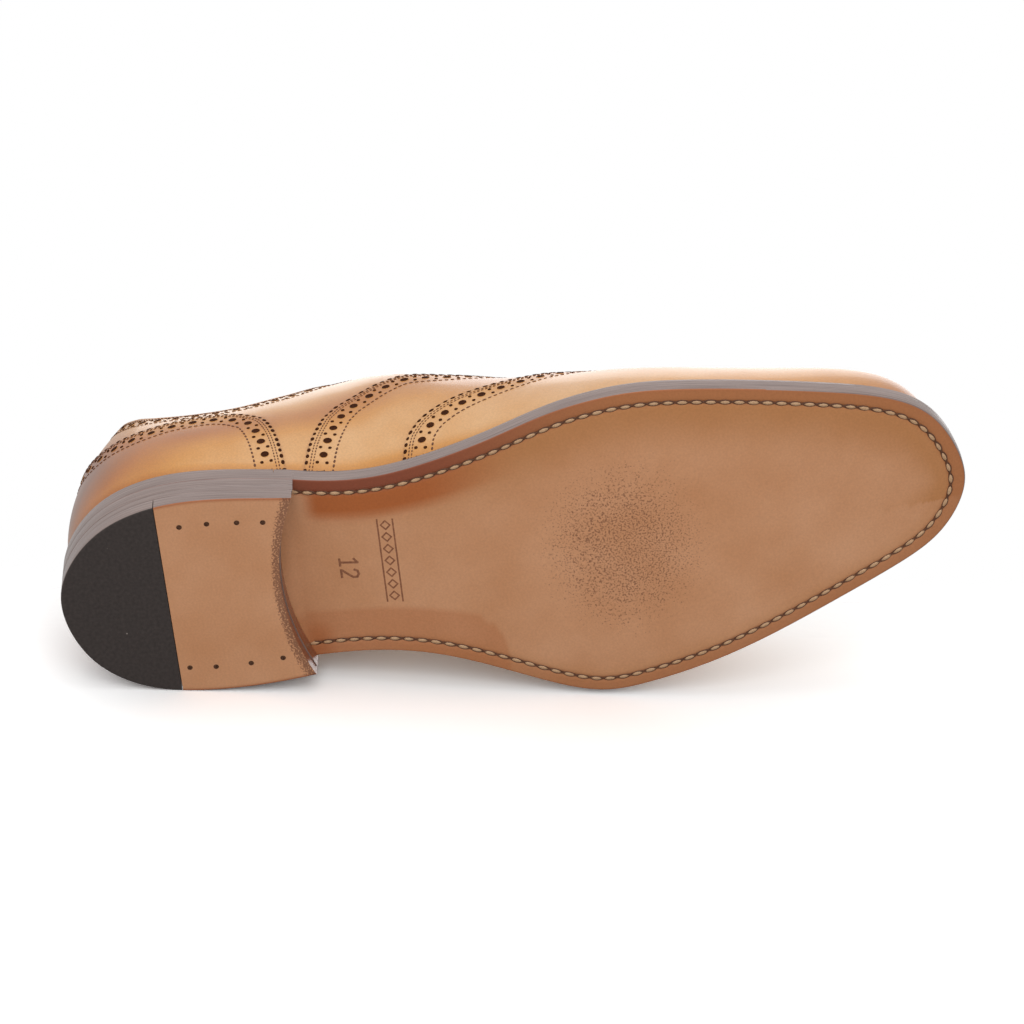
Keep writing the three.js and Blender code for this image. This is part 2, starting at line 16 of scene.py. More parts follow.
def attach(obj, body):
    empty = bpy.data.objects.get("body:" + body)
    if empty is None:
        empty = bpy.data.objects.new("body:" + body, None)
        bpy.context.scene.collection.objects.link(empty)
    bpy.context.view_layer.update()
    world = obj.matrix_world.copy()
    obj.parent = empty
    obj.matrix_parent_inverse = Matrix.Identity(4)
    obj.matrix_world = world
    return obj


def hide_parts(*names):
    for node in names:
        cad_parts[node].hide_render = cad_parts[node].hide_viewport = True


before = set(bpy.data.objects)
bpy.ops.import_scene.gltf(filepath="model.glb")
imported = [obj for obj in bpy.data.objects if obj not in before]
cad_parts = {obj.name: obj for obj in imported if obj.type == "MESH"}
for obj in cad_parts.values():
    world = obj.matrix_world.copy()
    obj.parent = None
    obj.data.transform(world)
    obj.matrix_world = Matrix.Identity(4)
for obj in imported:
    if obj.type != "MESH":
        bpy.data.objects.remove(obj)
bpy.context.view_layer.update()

MM = 0.001
LENGTH = 315.0
MEDIAL, LATERAL = -1, 1
SIDES = (MEDIAL, LATERAL)

# ---- The last: the same curves as the frame is made on --------------------------------------
OUTLINE = [
    (0, 3), (5, -14.5), (19, -28.5), (40, -35.5), (64, -35.5), (88, -33), (110, -33.5), (132, -39),
    (154, -47), (176, -55.5), (200, -60), (224, -59), (247, -55.5), (270, -50.5), (290, -44),
    (305, -33), (313.5, -16), (314, -1), (305, 13.5), (289, 23.5), (267, 33.5), (245, 43.5),
    (222, 52.5), (200, 58.5), (182, 60), (164, 54.5), (144, 46), (122, 39.5), (98, 38.5),
    (72, 41.5), (46, 42), (24, 37.5), (7, 24),
]
CREST = [
    (0, 16, 0, 107), (0.02, 16.4, 6.2, 105.5), (0.043, 18.6, 12.5, 99.5), (0.087, 26, 21.5, 88),
    (0.13, 34, 26, 80), (0.174, 46, 28.5, 75.5), (0.232, 63, 29.5, 75.5), (0.29, 80, 27.5, 84),
    (0.342, 95, 22, 97.5), (0.375, 104, 14, 108.5), (0.4, 111.5, 5, 114), (0.45, 132.5, 2.6, 105),
    (0.522, 158, 2, 90), (0.57, 173, 1.2, 81), (0.623, 190, 0, 72), (0.71, 217, 0, 62),
    (0.783, 236, 0, 57.5), (0.855, 251, 0, 54.5), (0.928, 261, 0, 52.7), (1, 266, 0, 51.7),
]
SWELL = [(0, 2.2), (0.1, 2.4), (0.25, 3.5), (0.4, 4.6), (0.55, 1.2), (0.7, 0.3), (1, 0.8)]
FULLNESS = [(0, 1.95), (0.66, 1.95), (0.76, 2.2), (0.9, 3), (1, 3)]
LEAN = [(0, 2.2), (0.22, 2.4), (0.36, 4), (0.46, 3.4), (1, 3.4)]
COUNTER_TOP = [
    (0, 0.6), (0.09, 0.62), (0.13, 0.67), (0.165, 0.75), (0.2, 0.78), (0.228, 0.74),
    (0.25, 0.63), (0.265, 0.5), (0.276, 0.26), (0.284, 0),
]
VAMP_REAR = [
    (0, 0.3), (0.22, 0.307), (0.34, 0.314), (0.45, 0.325), (0.52, 0.342), (0.57, 0.375),
    (0.61, 0.425), (0.67, 0.49), (0.8, 0.55), (1, 0.578),
]
CAP_REAR = [
    (0, 0.395), (0.14, 0.406), (0.24, 0.427), (0.33, 0.46), (0.39, 0.5), (0.45, 0.55), (0.54, 0.6),
    (0.68, 0.65), (0.83, 0.688), (0.93, 0.685), (1, 0.655),
]
OUTSOLE, WELT_TOP, GAP = 4.2, 7.0, 0.3
BREAST_Q, BREAST_BOW, TIP_Q = 0.289, -8.0, 0.158
TOP_PIECE, LIFT = 5.0, 3.3
HEEL_AT_BREAST, HEEL_RISE, BREAST_S = 12.5, 2.0, 82.0
THROAT_Q = 0.57
EYELET_QS, EYELET_V = (0.43, 0.455, 0.48, 0.505, 0.53), 0.93
NAIL_QS = {MEDIAL: (0.178, 0.207, 0.237, 0.262), LATERAL: (0.1655, 0.193, 0.229, 0.262)}
NAIL_INSET = 9.8
SEAM_INSET = 5.2
GIRTH = 363.6


def mix(a, b, t):
    return a + (b - a) * t


def ease(start, end, t):
    k = np.clip((np.asarray(t, float) - start) / (end - start), 0, 1)
    return k * k * (3 - 2 * k)


def bell(centre, width, t):
    return np.exp(-(((np.asarray(t, float) - centre) / width) ** 2))


def through(knots, t, column=1):
    """A smooth curve through (t, value, ...) knots, read in one column."""
    table = np.asarray(knots, float)
    x, y = table[:, 0], table[:, column]
    t = np.clip(np.asarray(t, float), x[0], x[-1])
    gap = np.diff(x)
    rate = np.diff(y) / gap
    inner = (rate[:-1] * gap[1:] + rate[1:] * gap[:-1]) / (x[2:] - x[:-2])
    slope = np.concatenate([rate[:1], inner, rate[-1:]])
    i = np.clip(np.searchsorted(x, t, side="right") - 1, 0, len(x) - 2)
    h, u = gap[i], (t - x[i]) / gap[i]
    return (
        (2 * u**3 - 3 * u**2 + 1) * y[i] + (u**3 - 2 * u**2 + u) * h * slope[i]
        + (3 * u**2 - 2 * u**3) * y[i + 1] + (u**3 - u**2) * h * slope[i + 1]
    )


def outline_sides(samples=1200):
    """Each side of the sole's outline as {q, s, x, ns, nx}, ns and nx being its outward normal."""
    knots = np.array(OUTLINE, float)
    count = len(knots)
    hull = knots.copy()
    for _ in range(40):
        for i in range(count):
            hull[i] = 1.5 * knots[i] - 0.25 * (hull[i - 1] + hull[(i + 1) % count])
    t = np.arange(samples) / samples * count
    i = np.floor(t).astype(int)
    f = (t - i)[:, None]
    weights = ((1 - f) ** 3, 3 * f**3 - 6 * f**2 + 4, 1 + 3 * f + 3 * f**2 - 3 * f**3, f**3)
    line = sum(w * hull[(i + k - 1) % count] for k, w in enumerate(weights)) / 6
    along = np.roll(line, -1, 0) - np.roll(line, 1, 0)
    along /= np.linalg.norm(along, axis=1)[:, None]
    toe = int(np.argmax(line[:, 0]))
    sides = {}
    orders = {MEDIAL: np.arange(toe + 1), LATERAL: np.r_[0, np.arange(samples - 1, toe - 1, -1)]}
    for side, order in orders.items():
        p = line[order]
        run = np.r_[0, np.cumsum(np.linalg.norm(np.diff(p, axis=0), axis=1))]
        sides[side] = dict(q=run / run[-1], s=p[:, 0], x=p[:, 1],
                           ns=along[order, 1], nx=-along[order, 0])
    return sides


EDGE_LINES = outline_sides()


def edge(side, q, inset=0.0):
    """Station, x and outward normal of the sole's outline at q, moved in by inset."""
    line = EDGE_LINES[side]
    s, x, ns, nx = (np.interp(q, line["q"], line[k]) for k in ("s", "x", "ns", "nx"))
    size = np.hypot(ns, nx)
    return s - ns / size * inset, x - nx / size * inset, ns / size, nx / size


def sole_z(s, x):
    """Height of the sole's underside."""
    s, x = np.asarray(s, float), np.asarray(x, float)
    heel = HEEL_AT_BREAST + HEEL_RISE * (BREAST_S - s) / BREAST_S
    waist = HEEL_AT_BREAST * (1 - np.clip((s - BREAST_S) / 111, 0, 1)) ** 1.6
    spring = 11.5 * np.clip((s - 212) / (LENGTH - 212), 0, 1) ** 2
    crown = 1.5 * (x / 58) ** 2 * ease(110, 180, s)
    return np.where(s < BREAST_S, heel, waist) + spring + crown


def at(s, x, z):
    s, x, z = np.broadcast_arrays(*(np.asarray(k, float) for k in (s, x, z)))
    return np.stack([x, LENGTH / 2 - s, z], -1)


def margin(q):
    return 2.2 + 3.3 * ease(0.36, 0.55, q)


def ridge_x(s):
    return 3 - 8.5 * ease(120, 270, s)


def upper(side, q, v):
    """The outside of the upper."""
    q, v = np.broadcast_arrays(np.asarray(q, float), np.asarray(v, float))
    foot_s, foot_x, ns, nx = edge(side, q, margin(q))
    foot_z = sole_z(foot_s, foot_x) + WELT_TOP + GAP
    top_s, half, top_z = (through(CREST, q, k) for k in (1, 2, 3))
    closed = 1 - ease(THROAT_Q - 0.025, THROAT_Q + 0.005, q)
    top_x = ridge_x(top_s) + side * half * closed
    angle = v * math.pi / 2
    power = 2 / through(FULLNESS, q)
    forepart = ease(0.42, 0.6, q)
    rise = mix(v, np.sin(angle) ** power, forepart)
    lean = mix(v ** through(LEAN, q), 1 - np.maximum(np.cos(angle), 0) ** power, forepart)
    swell = through(SWELL, q) * np.sin(math.pi * v**0.7)
    return at(mix(foot_s, top_s, lean) + ns * swell, mix(foot_x, top_x, lean) + nx * swell,
              mix(foot_z, top_z, rise))


def unit(vectors):
    return vectors / np.maximum(np.linalg.norm(vectors, axis=-1, keepdims=True), 1e-9)


def partials(side, q, v, step=0.002):
    along = upper(side, np.minimum(q + step, 1), v) - upper(side, np.maximum(q - step, 0), v)
    low, high = np.maximum(v - step, 0), np.minimum(v + step, 1)
    along /= (np.minimum(q + step, 1) - np.maximum(q - step, 0))[..., None]
    up = (upper(side, q, high) - upper(side, q, low)) / (high - low)[..., None]
    return along, up


def bare_normal(side, q, v):
    along, up = partials(side, q, v)
    return unit(np.cross(along, up)) * -side


def normal(side, q, v):
    """The outward normal, shared by the two sides where they meet."""
    q, v = np.broadcast_arrays(np.asarray(q, float), np.asarray(v, float))
    mine = bare_normal(side, q, v)
    met = ((v > 0.999) & (q > THROAT_Q)) | (q > 0.999) | (q < 0.001)
    if met.any():
        mine = np.where(met[..., None], mine + bare_normal(-side, q, v), mine)
    mine[..., 2] *= ease(-0.001, 0.04, v)
    return unit(mine)


def on_upper(side, q, v, height=0.0):
    return upper(side, q, v) + normal(side, q, v) * np.asarray(height, float)[..., None]


# ---- Meshes ----------------------------------------------------------------------------------
def new_object(name, mesh):
    made = bpy.data.objects.new(name, mesh)
    bpy.context.scene.collection.objects.link(made)
    return made


def paint(mesh, name, values):
    field = mesh.attributes.new(name, "FLOAT", "POINT")
    field.data.foreach_set("value", np.asarray(values, np.float32))


def smooth(mesh, sharp_degrees=38):
    mesh.shade_smooth()
    mesh.set_sharp_from_angle(angle=math.radians(sharp_degrees))


def turn_outwards(mesh):
    work = bmesh.new()
    work.from_mesh(mesh)
    bmesh.ops.recalc_face_normals(work, faces=work.faces)
    work.to_mesh(mesh)
    work.free()


def shell(name, grids, fields=()):
    """A closed sheet from (outer, inner) grids of points, joined where outer points meet.
    fields holds, for each attribute, its name and one grid of values for each grid of points."""
    outer = np.concatenate([g[0].reshape(-1, 3) for g in grids])
    inner = np.concatenate([g[1].reshape(-1, 3) for g in grids])
    _, first, ids = np.unique(np.round(outer * 60).astype(np.int64), axis=0,
                              return_index=True, return_inverse=True)
    ids = ids.ravel()
    quads, start = [], 0
    for g in grids:
        rows, cells = g[0].shape[:2]
        n = ids[start:start + rows * cells].reshape(rows, cells)
        quads.append(np.stack([n[:-1, :-1], n[1:, :-1], n[1:, 1:], n[:-1, 1:]], -1).reshape(-1, 4))
        start += rows * cells
    faces = []
    for quad in np.concatenate(quads).tolist():
        loop = [p for k, p in enumerate(quad) if p != quad[k - 1]]
        if len(set(loop)) == len(loop) > 2:
            faces.append(loop)
    count = len(first)
    sides = {(f[k - 1], f[k]) for f in faces for k in range(len(f))}
    back = [[p + count for p in reversed(f)] for f in faces]
    walls = [[b, a, a + count, b + count] for a, b in sorted(sides) if (b, a) not in sides]
    mesh = bpy.data.meshes.new(name)
    points = np.concatenate([outer[first], inner[first]]) * MM
    mesh.from_pydata(points.tolist(), [], faces + back + walls)
    for field, values in fields:
        flat = np.concatenate([np.asarray(k, float).ravel() for k in values])[first]
        paint(mesh, field, np.concatenate([flat, flat]))
    turn_outwards(mesh)
    smooth(mesh)
    return new_object(name, mesh)


def carried_up(tangent):
    """An up vector for each tangent, carried along the line without twisting."""
    ups = [unit(np.cross(tangent[0], (0.3, 0.2, 1.0)))]
    for way in tangent[1:]:
        ups.append(unit(ups[-1] - way * np.dot(ups[-1], way)))
    return np.array(ups)


def sweep(name, paths, section):
    """Closed bars along (points, ups) paths. section lists (across, up) points of the bar's cut,
    and ups may be None, for a round cord."""
    cut = np.array(section, float)
    verts, faces, around, start = [], [], [], 0
    for points, ups in paths:
        points = np.asarray(points, float)
        tangent = unit(np.gradient(points, axis=0))
        if ups is None:
            ups = carried_up(tangent)
        up = unit(ups - tangent * np.sum(ups * tangent, -1, keepdims=True))
        across = np.cross(tangent, up)
        ring = points[:, None] + across[:, None] * cut[None, :, :1] + up[:, None] * cut[None, :, 1:]
        n, k = ring.shape[:2]
        run = np.r_[0, np.cumsum(np.linalg.norm(np.diff(points, axis=0), axis=1))]
        verts.append(ring.reshape(-1, 3))
        around.append(np.repeat(run, k))
        for i in range(n - 1):
            for j in range(k):
                a, b = start + i * k + j, start + i * k + (j + 1) % k
                faces.append([a, b, b + k, a + k])
        faces.append([start + j for j in range(k)][::-1])
        faces.append([start + (n - 1) * k + j for j in range(k)])
        start += n * k
    mesh = bpy.data.meshes.new(name)
    mesh.from_pydata((np.concatenate(verts) * MM).tolist(), [], faces)
    paint(mesh, "along", np.concatenate(around))
    turn_outwards(mesh)
    smooth(mesh, 50)
    return new_object(name, mesh)


def round_section(r, sides=10, flat=1.0):
    turns = np.arange(sides) * 2 * math.pi / sides
    return [(r * math.cos(t), r * flat * math.sin(t)) for t in turns]


def blob(name, length, width, height, around=8, rings=4):
    """A small rounded seed: length along X, height along Z."""
    mesh = bpy.data.meshes.new(name)
    work = bmesh.new()
    bmesh.ops.create_uvsphere(work, u_segments=around, v_segments=rings, radius=1)
    bmesh.ops.scale(work, vec=(length / 2 * MM, width / 2 * MM, height / 2 * MM), verts=work.verts)
    work.to_mesh(mesh)
    work.free()
    mesh.shade_smooth()
    return new_object(name, mesh)


def ring(name, radius, wire, around=14, sides=5):
    """A small raised lip round a hole, lying flat."""
    mesh = bpy.data.meshes.new(name)
    big = np.arange(around) * 2 * math.pi / around
    small = np.arange(sides) * 2 * math.pi / sides
    a, b = np.meshgrid(big, small, indexing="ij")
    reach = radius + wire * np.cos(b)
    points = np.stack([reach * np.cos(a), reach * np.sin(a), wire * 0.8 * np.sin(b)], -1) * MM
    index = np.arange(around * sides).reshape(around, sides)
    ahead, beside = np.roll(index, -1, 0), np.roll(index, -1, 1)
    both = np.roll(ahead, -1, 1)
    quads = np.stack([index, ahead, both, beside], -1).reshape(-1, 4)
    mesh.from_pydata(points.reshape(-1, 3).tolist(), [], quads.tolist())
    mesh.shade_smooth()
    turn_outwards(mesh)
    return new_object(name, mesh)


def turned(name, profile, around=12):
    """A small turned piece; profile runs from axis to axis as (radius, height) points."""
    mesh = bpy.data.meshes.new(name)
    work = bmesh.new()
    rows = []
    for radius, height in profile:
        if radius == 0:
            rows.append([work.verts.new((0, 0, height * MM))])
        else:
            turns = [k * 2 * math.pi / around for k in range(around)]
            rows.append([work.verts.new((radius * MM * math.cos(t), radius * MM * math.sin(t),
                                         height * MM)) for t in turns])
    for low, high in zip(rows, rows[1:]):
        for k in range(around):
            j = (k + 1) % around
            corners = [low[k % len(low)], low[j % len(low)],
                       high[j % len(high)], high[k % len(high)]]
            work.faces.new([c for i, c in enumerate(corners) if c is not corners[i - 1]])
    bmesh.ops.recalc_face_normals(work, faces=work.faces)
    work.to_mesh(mesh)
    work.free()
    smooth(mesh, 50)
    return new_object(name, mesh)


# ---- Rows that follow a path: stitches, punched holes, nails ----------------------------------
def row_tree():
    """Geometry Nodes that set one piece at an even pitch along every line of a path mesh.
    The path's "stand" attribute says which way is up at each point."""
    tree = bpy.data.node_groups.new("row along a path", "GeometryNodeTree")
    face = tree.interface
    face.new_socket("Path", in_out="INPUT", socket_type="NodeSocketGeometry")
    for name, kind in (("Pitch", "Float"), ("Piece", "Object"), ("Size jitter", "Float"),
                       ("Seed", "Int"), ("Finish", "Material")):
        face.new_socket(name, in_out="INPUT", socket_type="NodeSocket" + kind)
    face.new_socket("Row", in_out="OUTPUT", socket_type="NodeSocketGeometry")
    given = add(tree, "NodeGroupInput").outputs
    line = add(tree, "GeometryNodeMeshToCurve", {"Mesh": given["Path"]})
    even = add(tree, "GeometryNodeResampleCurve",
               {"Curve": line.outputs[0], "Length": given["Pitch"]}, mode="LENGTH")
    stand = add(tree, "GeometryNodeInputNamedAttribute", {"Name": "stand"}, data_type="FLOAT_VECTOR")
    tangent = add(tree, "GeometryNodeInputTangent")
    upright = add(tree, "FunctionNodeAlignRotationToVector",
                  {"Vector": stand.outputs["Attribute"]}, axis="Z")
    turned_along = add(tree, "FunctionNodeAlignRotationToVector",
                       {"Rotation": upright.outputs[0], "Vector": tangent.outputs[0]},
                       axis="X", pivot_axis="Z")
    low = add(tree, "ShaderNodeMath", {0: 1.0, 1: given["Size jitter"]}, operation="SUBTRACT")
    high = add(tree, "ShaderNodeMath", {0: 1.0, 1: given["Size jitter"]}, operation="ADD")
    size = add(tree, "FunctionNodeRandomValue",
               {"Min": low.outputs[0], "Max": high.outputs[0], "Seed": given["Seed"]}, data_type="FLOAT")
    piece = add(tree, "GeometryNodeObjectInfo", {"Object": given["Piece"], "As Instance": True})
    placed = add(tree, "GeometryNodeInstanceOnPoints",
                 {"Points": even.outputs[0], "Instance": piece.outputs["Geometry"],
                  "Rotation": turned_along.outputs[0], "Scale": size.outputs["Value"]})
    real = add(tree, "GeometryNodeRealizeInstances", {"Geometry": placed.outputs[0]})
    finish = add(tree, "GeometryNodeSetMaterial",
                 {"Geometry": real.outputs[0], "Material": given["Finish"]})
    add(tree, "NodeGroupOutput", {"Row": finish.outputs[0]})
    return tree


def add(tree, kind, inputs=None, stops=None, **settings):
    """Adds a node with its settings and its links or values. stops are a colour ramp's stops."""
    made = tree.nodes.new(kind)
    for name, value in settings.items():
        setattr(made, name, value)
    for name, value in (inputs or {}).items():
        if isinstance(name, str) and name not in made.inputs:
            raise KeyError(f"{kind} has no input {name}: {[k.name for k in made.inputs]}")
        if isinstance(value, bpy.types.NodeSocket):
            tree.links.new(value, made.inputs[name])
        else:
            made.inputs[name].default_value = value
    if stops:
        ramp = made.color_ramp
        while len(ramp.elements) < len(stops):
            ramp.elements.new(0.5)
        for element, (position, value) in zip(ramp.elements, stops):
            element.position = position
            element.color = value if isinstance(value, tuple) else (value, value, value, 1)
    return made


def lay_row(name, paths, pitch, piece, finish, jitter=0.06, seed=1):
    """One plain mesh of piece, set every pitch mm along the (points, ups) paths."""
    points = np.concatenate([p for p, _ in paths])
    stands = np.concatenate([u for _, u in paths])
    edges, start = [], 0
    for p, _ in paths:
        edges += [(start + i, start + i + 1) for i in range(len(p) - 1)]
        start += len(p)
    mesh = bpy.data.meshes.new(name + "_path")
    mesh.from_pydata((points * MM).tolist(), edges, [])
    field = mesh.attributes.new("stand", "FLOAT_VECTOR", "POINT")
    field.data.foreach_set("vector", stands.astype(np.float32).ravel())
    guide = new_object(name + "_path", mesh)
    modifier = guide.modifiers.new("row", "NODES")
    modifier.node_group = ROW_TREE
    inputs = {k.name: k.identifier for k in ROW_TREE.interface.items_tree if k.in_out == "INPUT"}
    values = {"Pitch": pitch * MM, "Piece": piece, "Size jitter": jitter, "Seed": seed,
              "Finish": finish}
    for key, value in values.items():
        modifier[inputs[key]] = value
    guide.update_tag()
    bpy.context.view_layer.update()
    depsgraph = bpy.context.evaluated_depsgraph_get()
    made = bpy.data.meshes.new_from_object(guide.evaluated_get(depsgraph))
    made.name = name
    guide.modifiers.remove(modifier)
    bpy.data.objects.remove(guide)
    return new_object(name, made)


def run_of(points):
    return np.r_[0, np.cumsum(np.linalg.norm(np.diff(points, axis=0), axis=1))]


def cut_line(points, ups, start, end):
    """The part of a path between two lengths along it, in 0.5 mm steps."""
    run = run_of(points)
    at_runs = np.linspace(start, end, max(3, int((end - start) / 0.5)))
    places, stands = (np.stack([np.interp(at_runs, run, field[:, k]) for k in range(3)], -1)
                      for field in (points, ups))
    return places, unit(stands)


def between(paths, pitch):
    """The same paths trimmed by half a pitch at each end, so that a row laid along them falls
    between the first row's pieces."""
    cut = []
    for points, ups in paths:
        total = run_of(points)[-1]
        half = total / max(1, int(total / pitch)) / 2
        if total > 3 * half:
            cut.append(cut_line(points, ups, half, total - half))
    return cut


# ---- Seam lines on the upper -------------------------------------------------------------------
def evenly(side, q, v, step=0.5):
    run = run_of(upper(side, q, v))
    at_runs = np.linspace(0, run[-1], max(8, int(run[-1] / step)))
    return np.interp(at_runs, run, q), np.interp(at_runs, run, v)


def seam_line(sheet, side):
    """A sheet's edge as q and v, every half millimetre."""
    t = np.linspace(0, 1, 900)
    if sheet == "counter":
        q = COUNTER_TOP[-1][0] * (1 - (1 - t) ** 2)
        return evenly(side, q, through(COUNTER_TOP, q))
    knots = VAMP_REAR if sheet == "vamp" else CAP_REAR
    return evenly(side, through(knots, t), t)


INWARD = {"counter": (-1, -1), "vamp": (1, 0), "cap": (1, 0), "top": (0, -1)}


def moved_in(side, q, v, distance, hint):
    """The line q, v moved across itself over the surface by distance mm, towards the hint."""
    count = max(1, int(math.ceil(np.max(distance))))
    for _ in range(count):
        pq, pv = partials(side, q, v)
        tangent = unit(pq * np.gradient(q)[:, None] + pv * np.gradient(v)[:, None])
        inward = np.cross(unit(np.cross(pq, pv)), tangent)
        e, f, g = (np.sum(a * b, -1) for a, b in ((pq, pq), (pq, pv), (pv, pv)))
        r, s = np.sum(pq * inward, -1), np.sum(pv * inward, -1)
        det = e * g - f * f
        dq, dv = (g * r - f * s) / det, (e * s - f * r) / det
        way = np.sign(np.median(dq * hint[0] + dv * hint[1]))
        q = np.clip(q + way * dq * distance / count, 0, 1)
        v = np.clip(v + way * dv * distance / count, 0, 1)
    return q, v


# A sheet's own height over the one below, at its edge and far from it, and how far the edge reaches.
EDGE_LIFT = {"counter": (0.8, 0.1), "vamp": (0.8, 0.1), "cap": (1.0, 0.3)}
LIFT_REACH = 12.0


def sheet_lift(sheet, distance):
    high, low = EDGE_LIFT[sheet]
    return low + (high - low) * (1 - ease(0, LIFT_REACH, distance))


def band_path(sheet, side, distance, proud=0.03):
    """A path along a sheet's edge, distance mm inside it, as (points, ups). The ups stand square
    to the sheet, which slopes down from its edge."""
    q, v = seam_line(sheet, side)
    q, v = moved_in(side, q, v, distance, INWARD[sheet])
    top = 0.996
    keep = (v > 0.01) & (v < top) & (q > 0.0005)
    if sheet == "vamp":
        keep &= (v < 0.985) | (q > THROAT_Q + 0.01)
    q, v = q[keep], v[keep]
    q, v = evenly(side, q, v)
    points, ways = on_upper(side, q, v, sheet_lift(sheet, distance) + proud), normal(side, q, v)
    beside = upper(side, *moved_in(side, q, v, 0.5, INWARD[sheet])) - upper(side, q, v)
    slope = (sheet_lift(sheet, distance + 0.5) - sheet_lift(sheet, distance - 0.5)) * unit(beside)
    return points, unit(ways - slope)


def topline_path(side, distance, start=0.012, end=0.563, proud=0.03):
    """A path distance mm under the top edge, between two stations of q."""
    q = np.linspace(start, end, 900)
    q, v = moved_in(side, q, np.ones_like(q), np.full_like(q, distance), INWARD["top"])
    q, v = evenly(side, q, v)
    return on_upper(side, q, v, proud), normal(side, q, v)


# ---- Materials ------------------------------------------------------------------------------
def colour(text):
    """A linear colour from an sRGB hex value."""
    parts = [int(text[k:k + 2], 16) / 255 for k in (1, 3, 5)]
    linear = [p / 12.92 if p <= 0.04045 else ((p + 0.055) / 1.055) ** 2.4 for p in parts]
    return (*linear, 1.0)


def per_mm(size):
    """A texture scale whose features are about size mm across."""
    return 1 / (size * MM)


def new_material(name):
    made = bpy.data.materials.new(name)
    made.use_nodes = True
    tree = made.node_tree
    shader = tree.nodes["Principled BSDF"]
    place = add(tree, "ShaderNodeTexCoord").outputs["Object"]
    return made, tree, shader, place


def burnished_calf():
    """Full-grain aniline calf, glazed and burnished by hand: a warm tan with darker clouds where
    the polish was worked in, a very fine pore, and a soft wax gloss over it."""
    made, tree, shader, place = new_material("burnished_calf")
    cloud = add(tree, "ShaderNodeTexNoise", {"Vector": place, "Scale": per_mm(26), "Detail": 4.0})
    pore = add(tree, "ShaderNodeTexVoronoi", {"Vector": place, "Scale": per_mm(0.9)}, feature="F1")
    fibre = add(tree, "ShaderNodeTexNoise", {"Vector": place, "Scale": per_mm(0.7), "Detail": 2.0})
    # This field holds real burnishing at the heel and toe and a painted shade band at mid-height.
    burnish = add(tree, "ShaderNodeAttribute", attribute_name="burnish").outputs["Fac"]
    seam = add(tree, "ShaderNodeAttribute", attribute_name="seam").outputs["Fac"]
    worked = add(tree, "ShaderNodeMath", {0: cloud.outputs["Fac"], 1: 0.35, 2: -0.175},
                 operation="MULTIPLY_ADD")
    depth = add(tree, "ShaderNodeMath", {0: burnish, 1: worked.outputs[0]}, operation="ADD",
                use_clamp=True)
    tan = add(tree, "ShaderNodeValToRGB", {"Fac": depth.outputs[0]}, stops=[
        (0.0, colour("#D6AB7C")), (0.3, colour("#C48740")), (0.65, colour("#A8621A")),
        (1.0, colour("#7C420F"))])
    speck = add(tree, "ShaderNodeMapRange", {"Value": fibre.outputs["Fac"], "From Min": 0.35,
                                             "From Max": 0.65, "To Min": 0.93, "To Max": 1.05})
    grained = add(tree, "ShaderNodeMix", {"Factor": 1.0, 6: tan.outputs["Color"],
                                          7: speck.outputs["Result"]},
                  data_type="RGBA", blend_type="MULTIPLY")
    worn = add(tree, "ShaderNodeMapRange", {"Value": seam, "From Min": 0.0, "From Max": 0.9,
                                            "To Min": 0.75, "To Max": 0.0})
    edged = add(tree, "ShaderNodeMix", {"Factor": worn.outputs["Result"], 6: grained.outputs[2],
                                        7: colour("#7A4A22")}, data_type="RGBA")
    tree.links.new(edged.outputs[2], shader.inputs["Base Color"])
    gloss = add(tree, "ShaderNodeMapRange", {"Value": cloud.outputs["Fac"], "To Min": 0.27,
                                             "To Max": 0.37})
    tree.links.new(gloss.outputs["Result"], shader.inputs["Roughness"])
    bump = add(tree, "ShaderNodeBump", {"Height": pore.outputs["Distance"], "Strength": 0.06,
                                        "Distance": 0.00008})
    tree.links.new(bump.outputs["Normal"], shader.inputs["Normal"])
    shader.inputs["Coat Weight"].default_value = 0.25
    shader.inputs["Coat Roughness"].default_value = 0.12
    return made


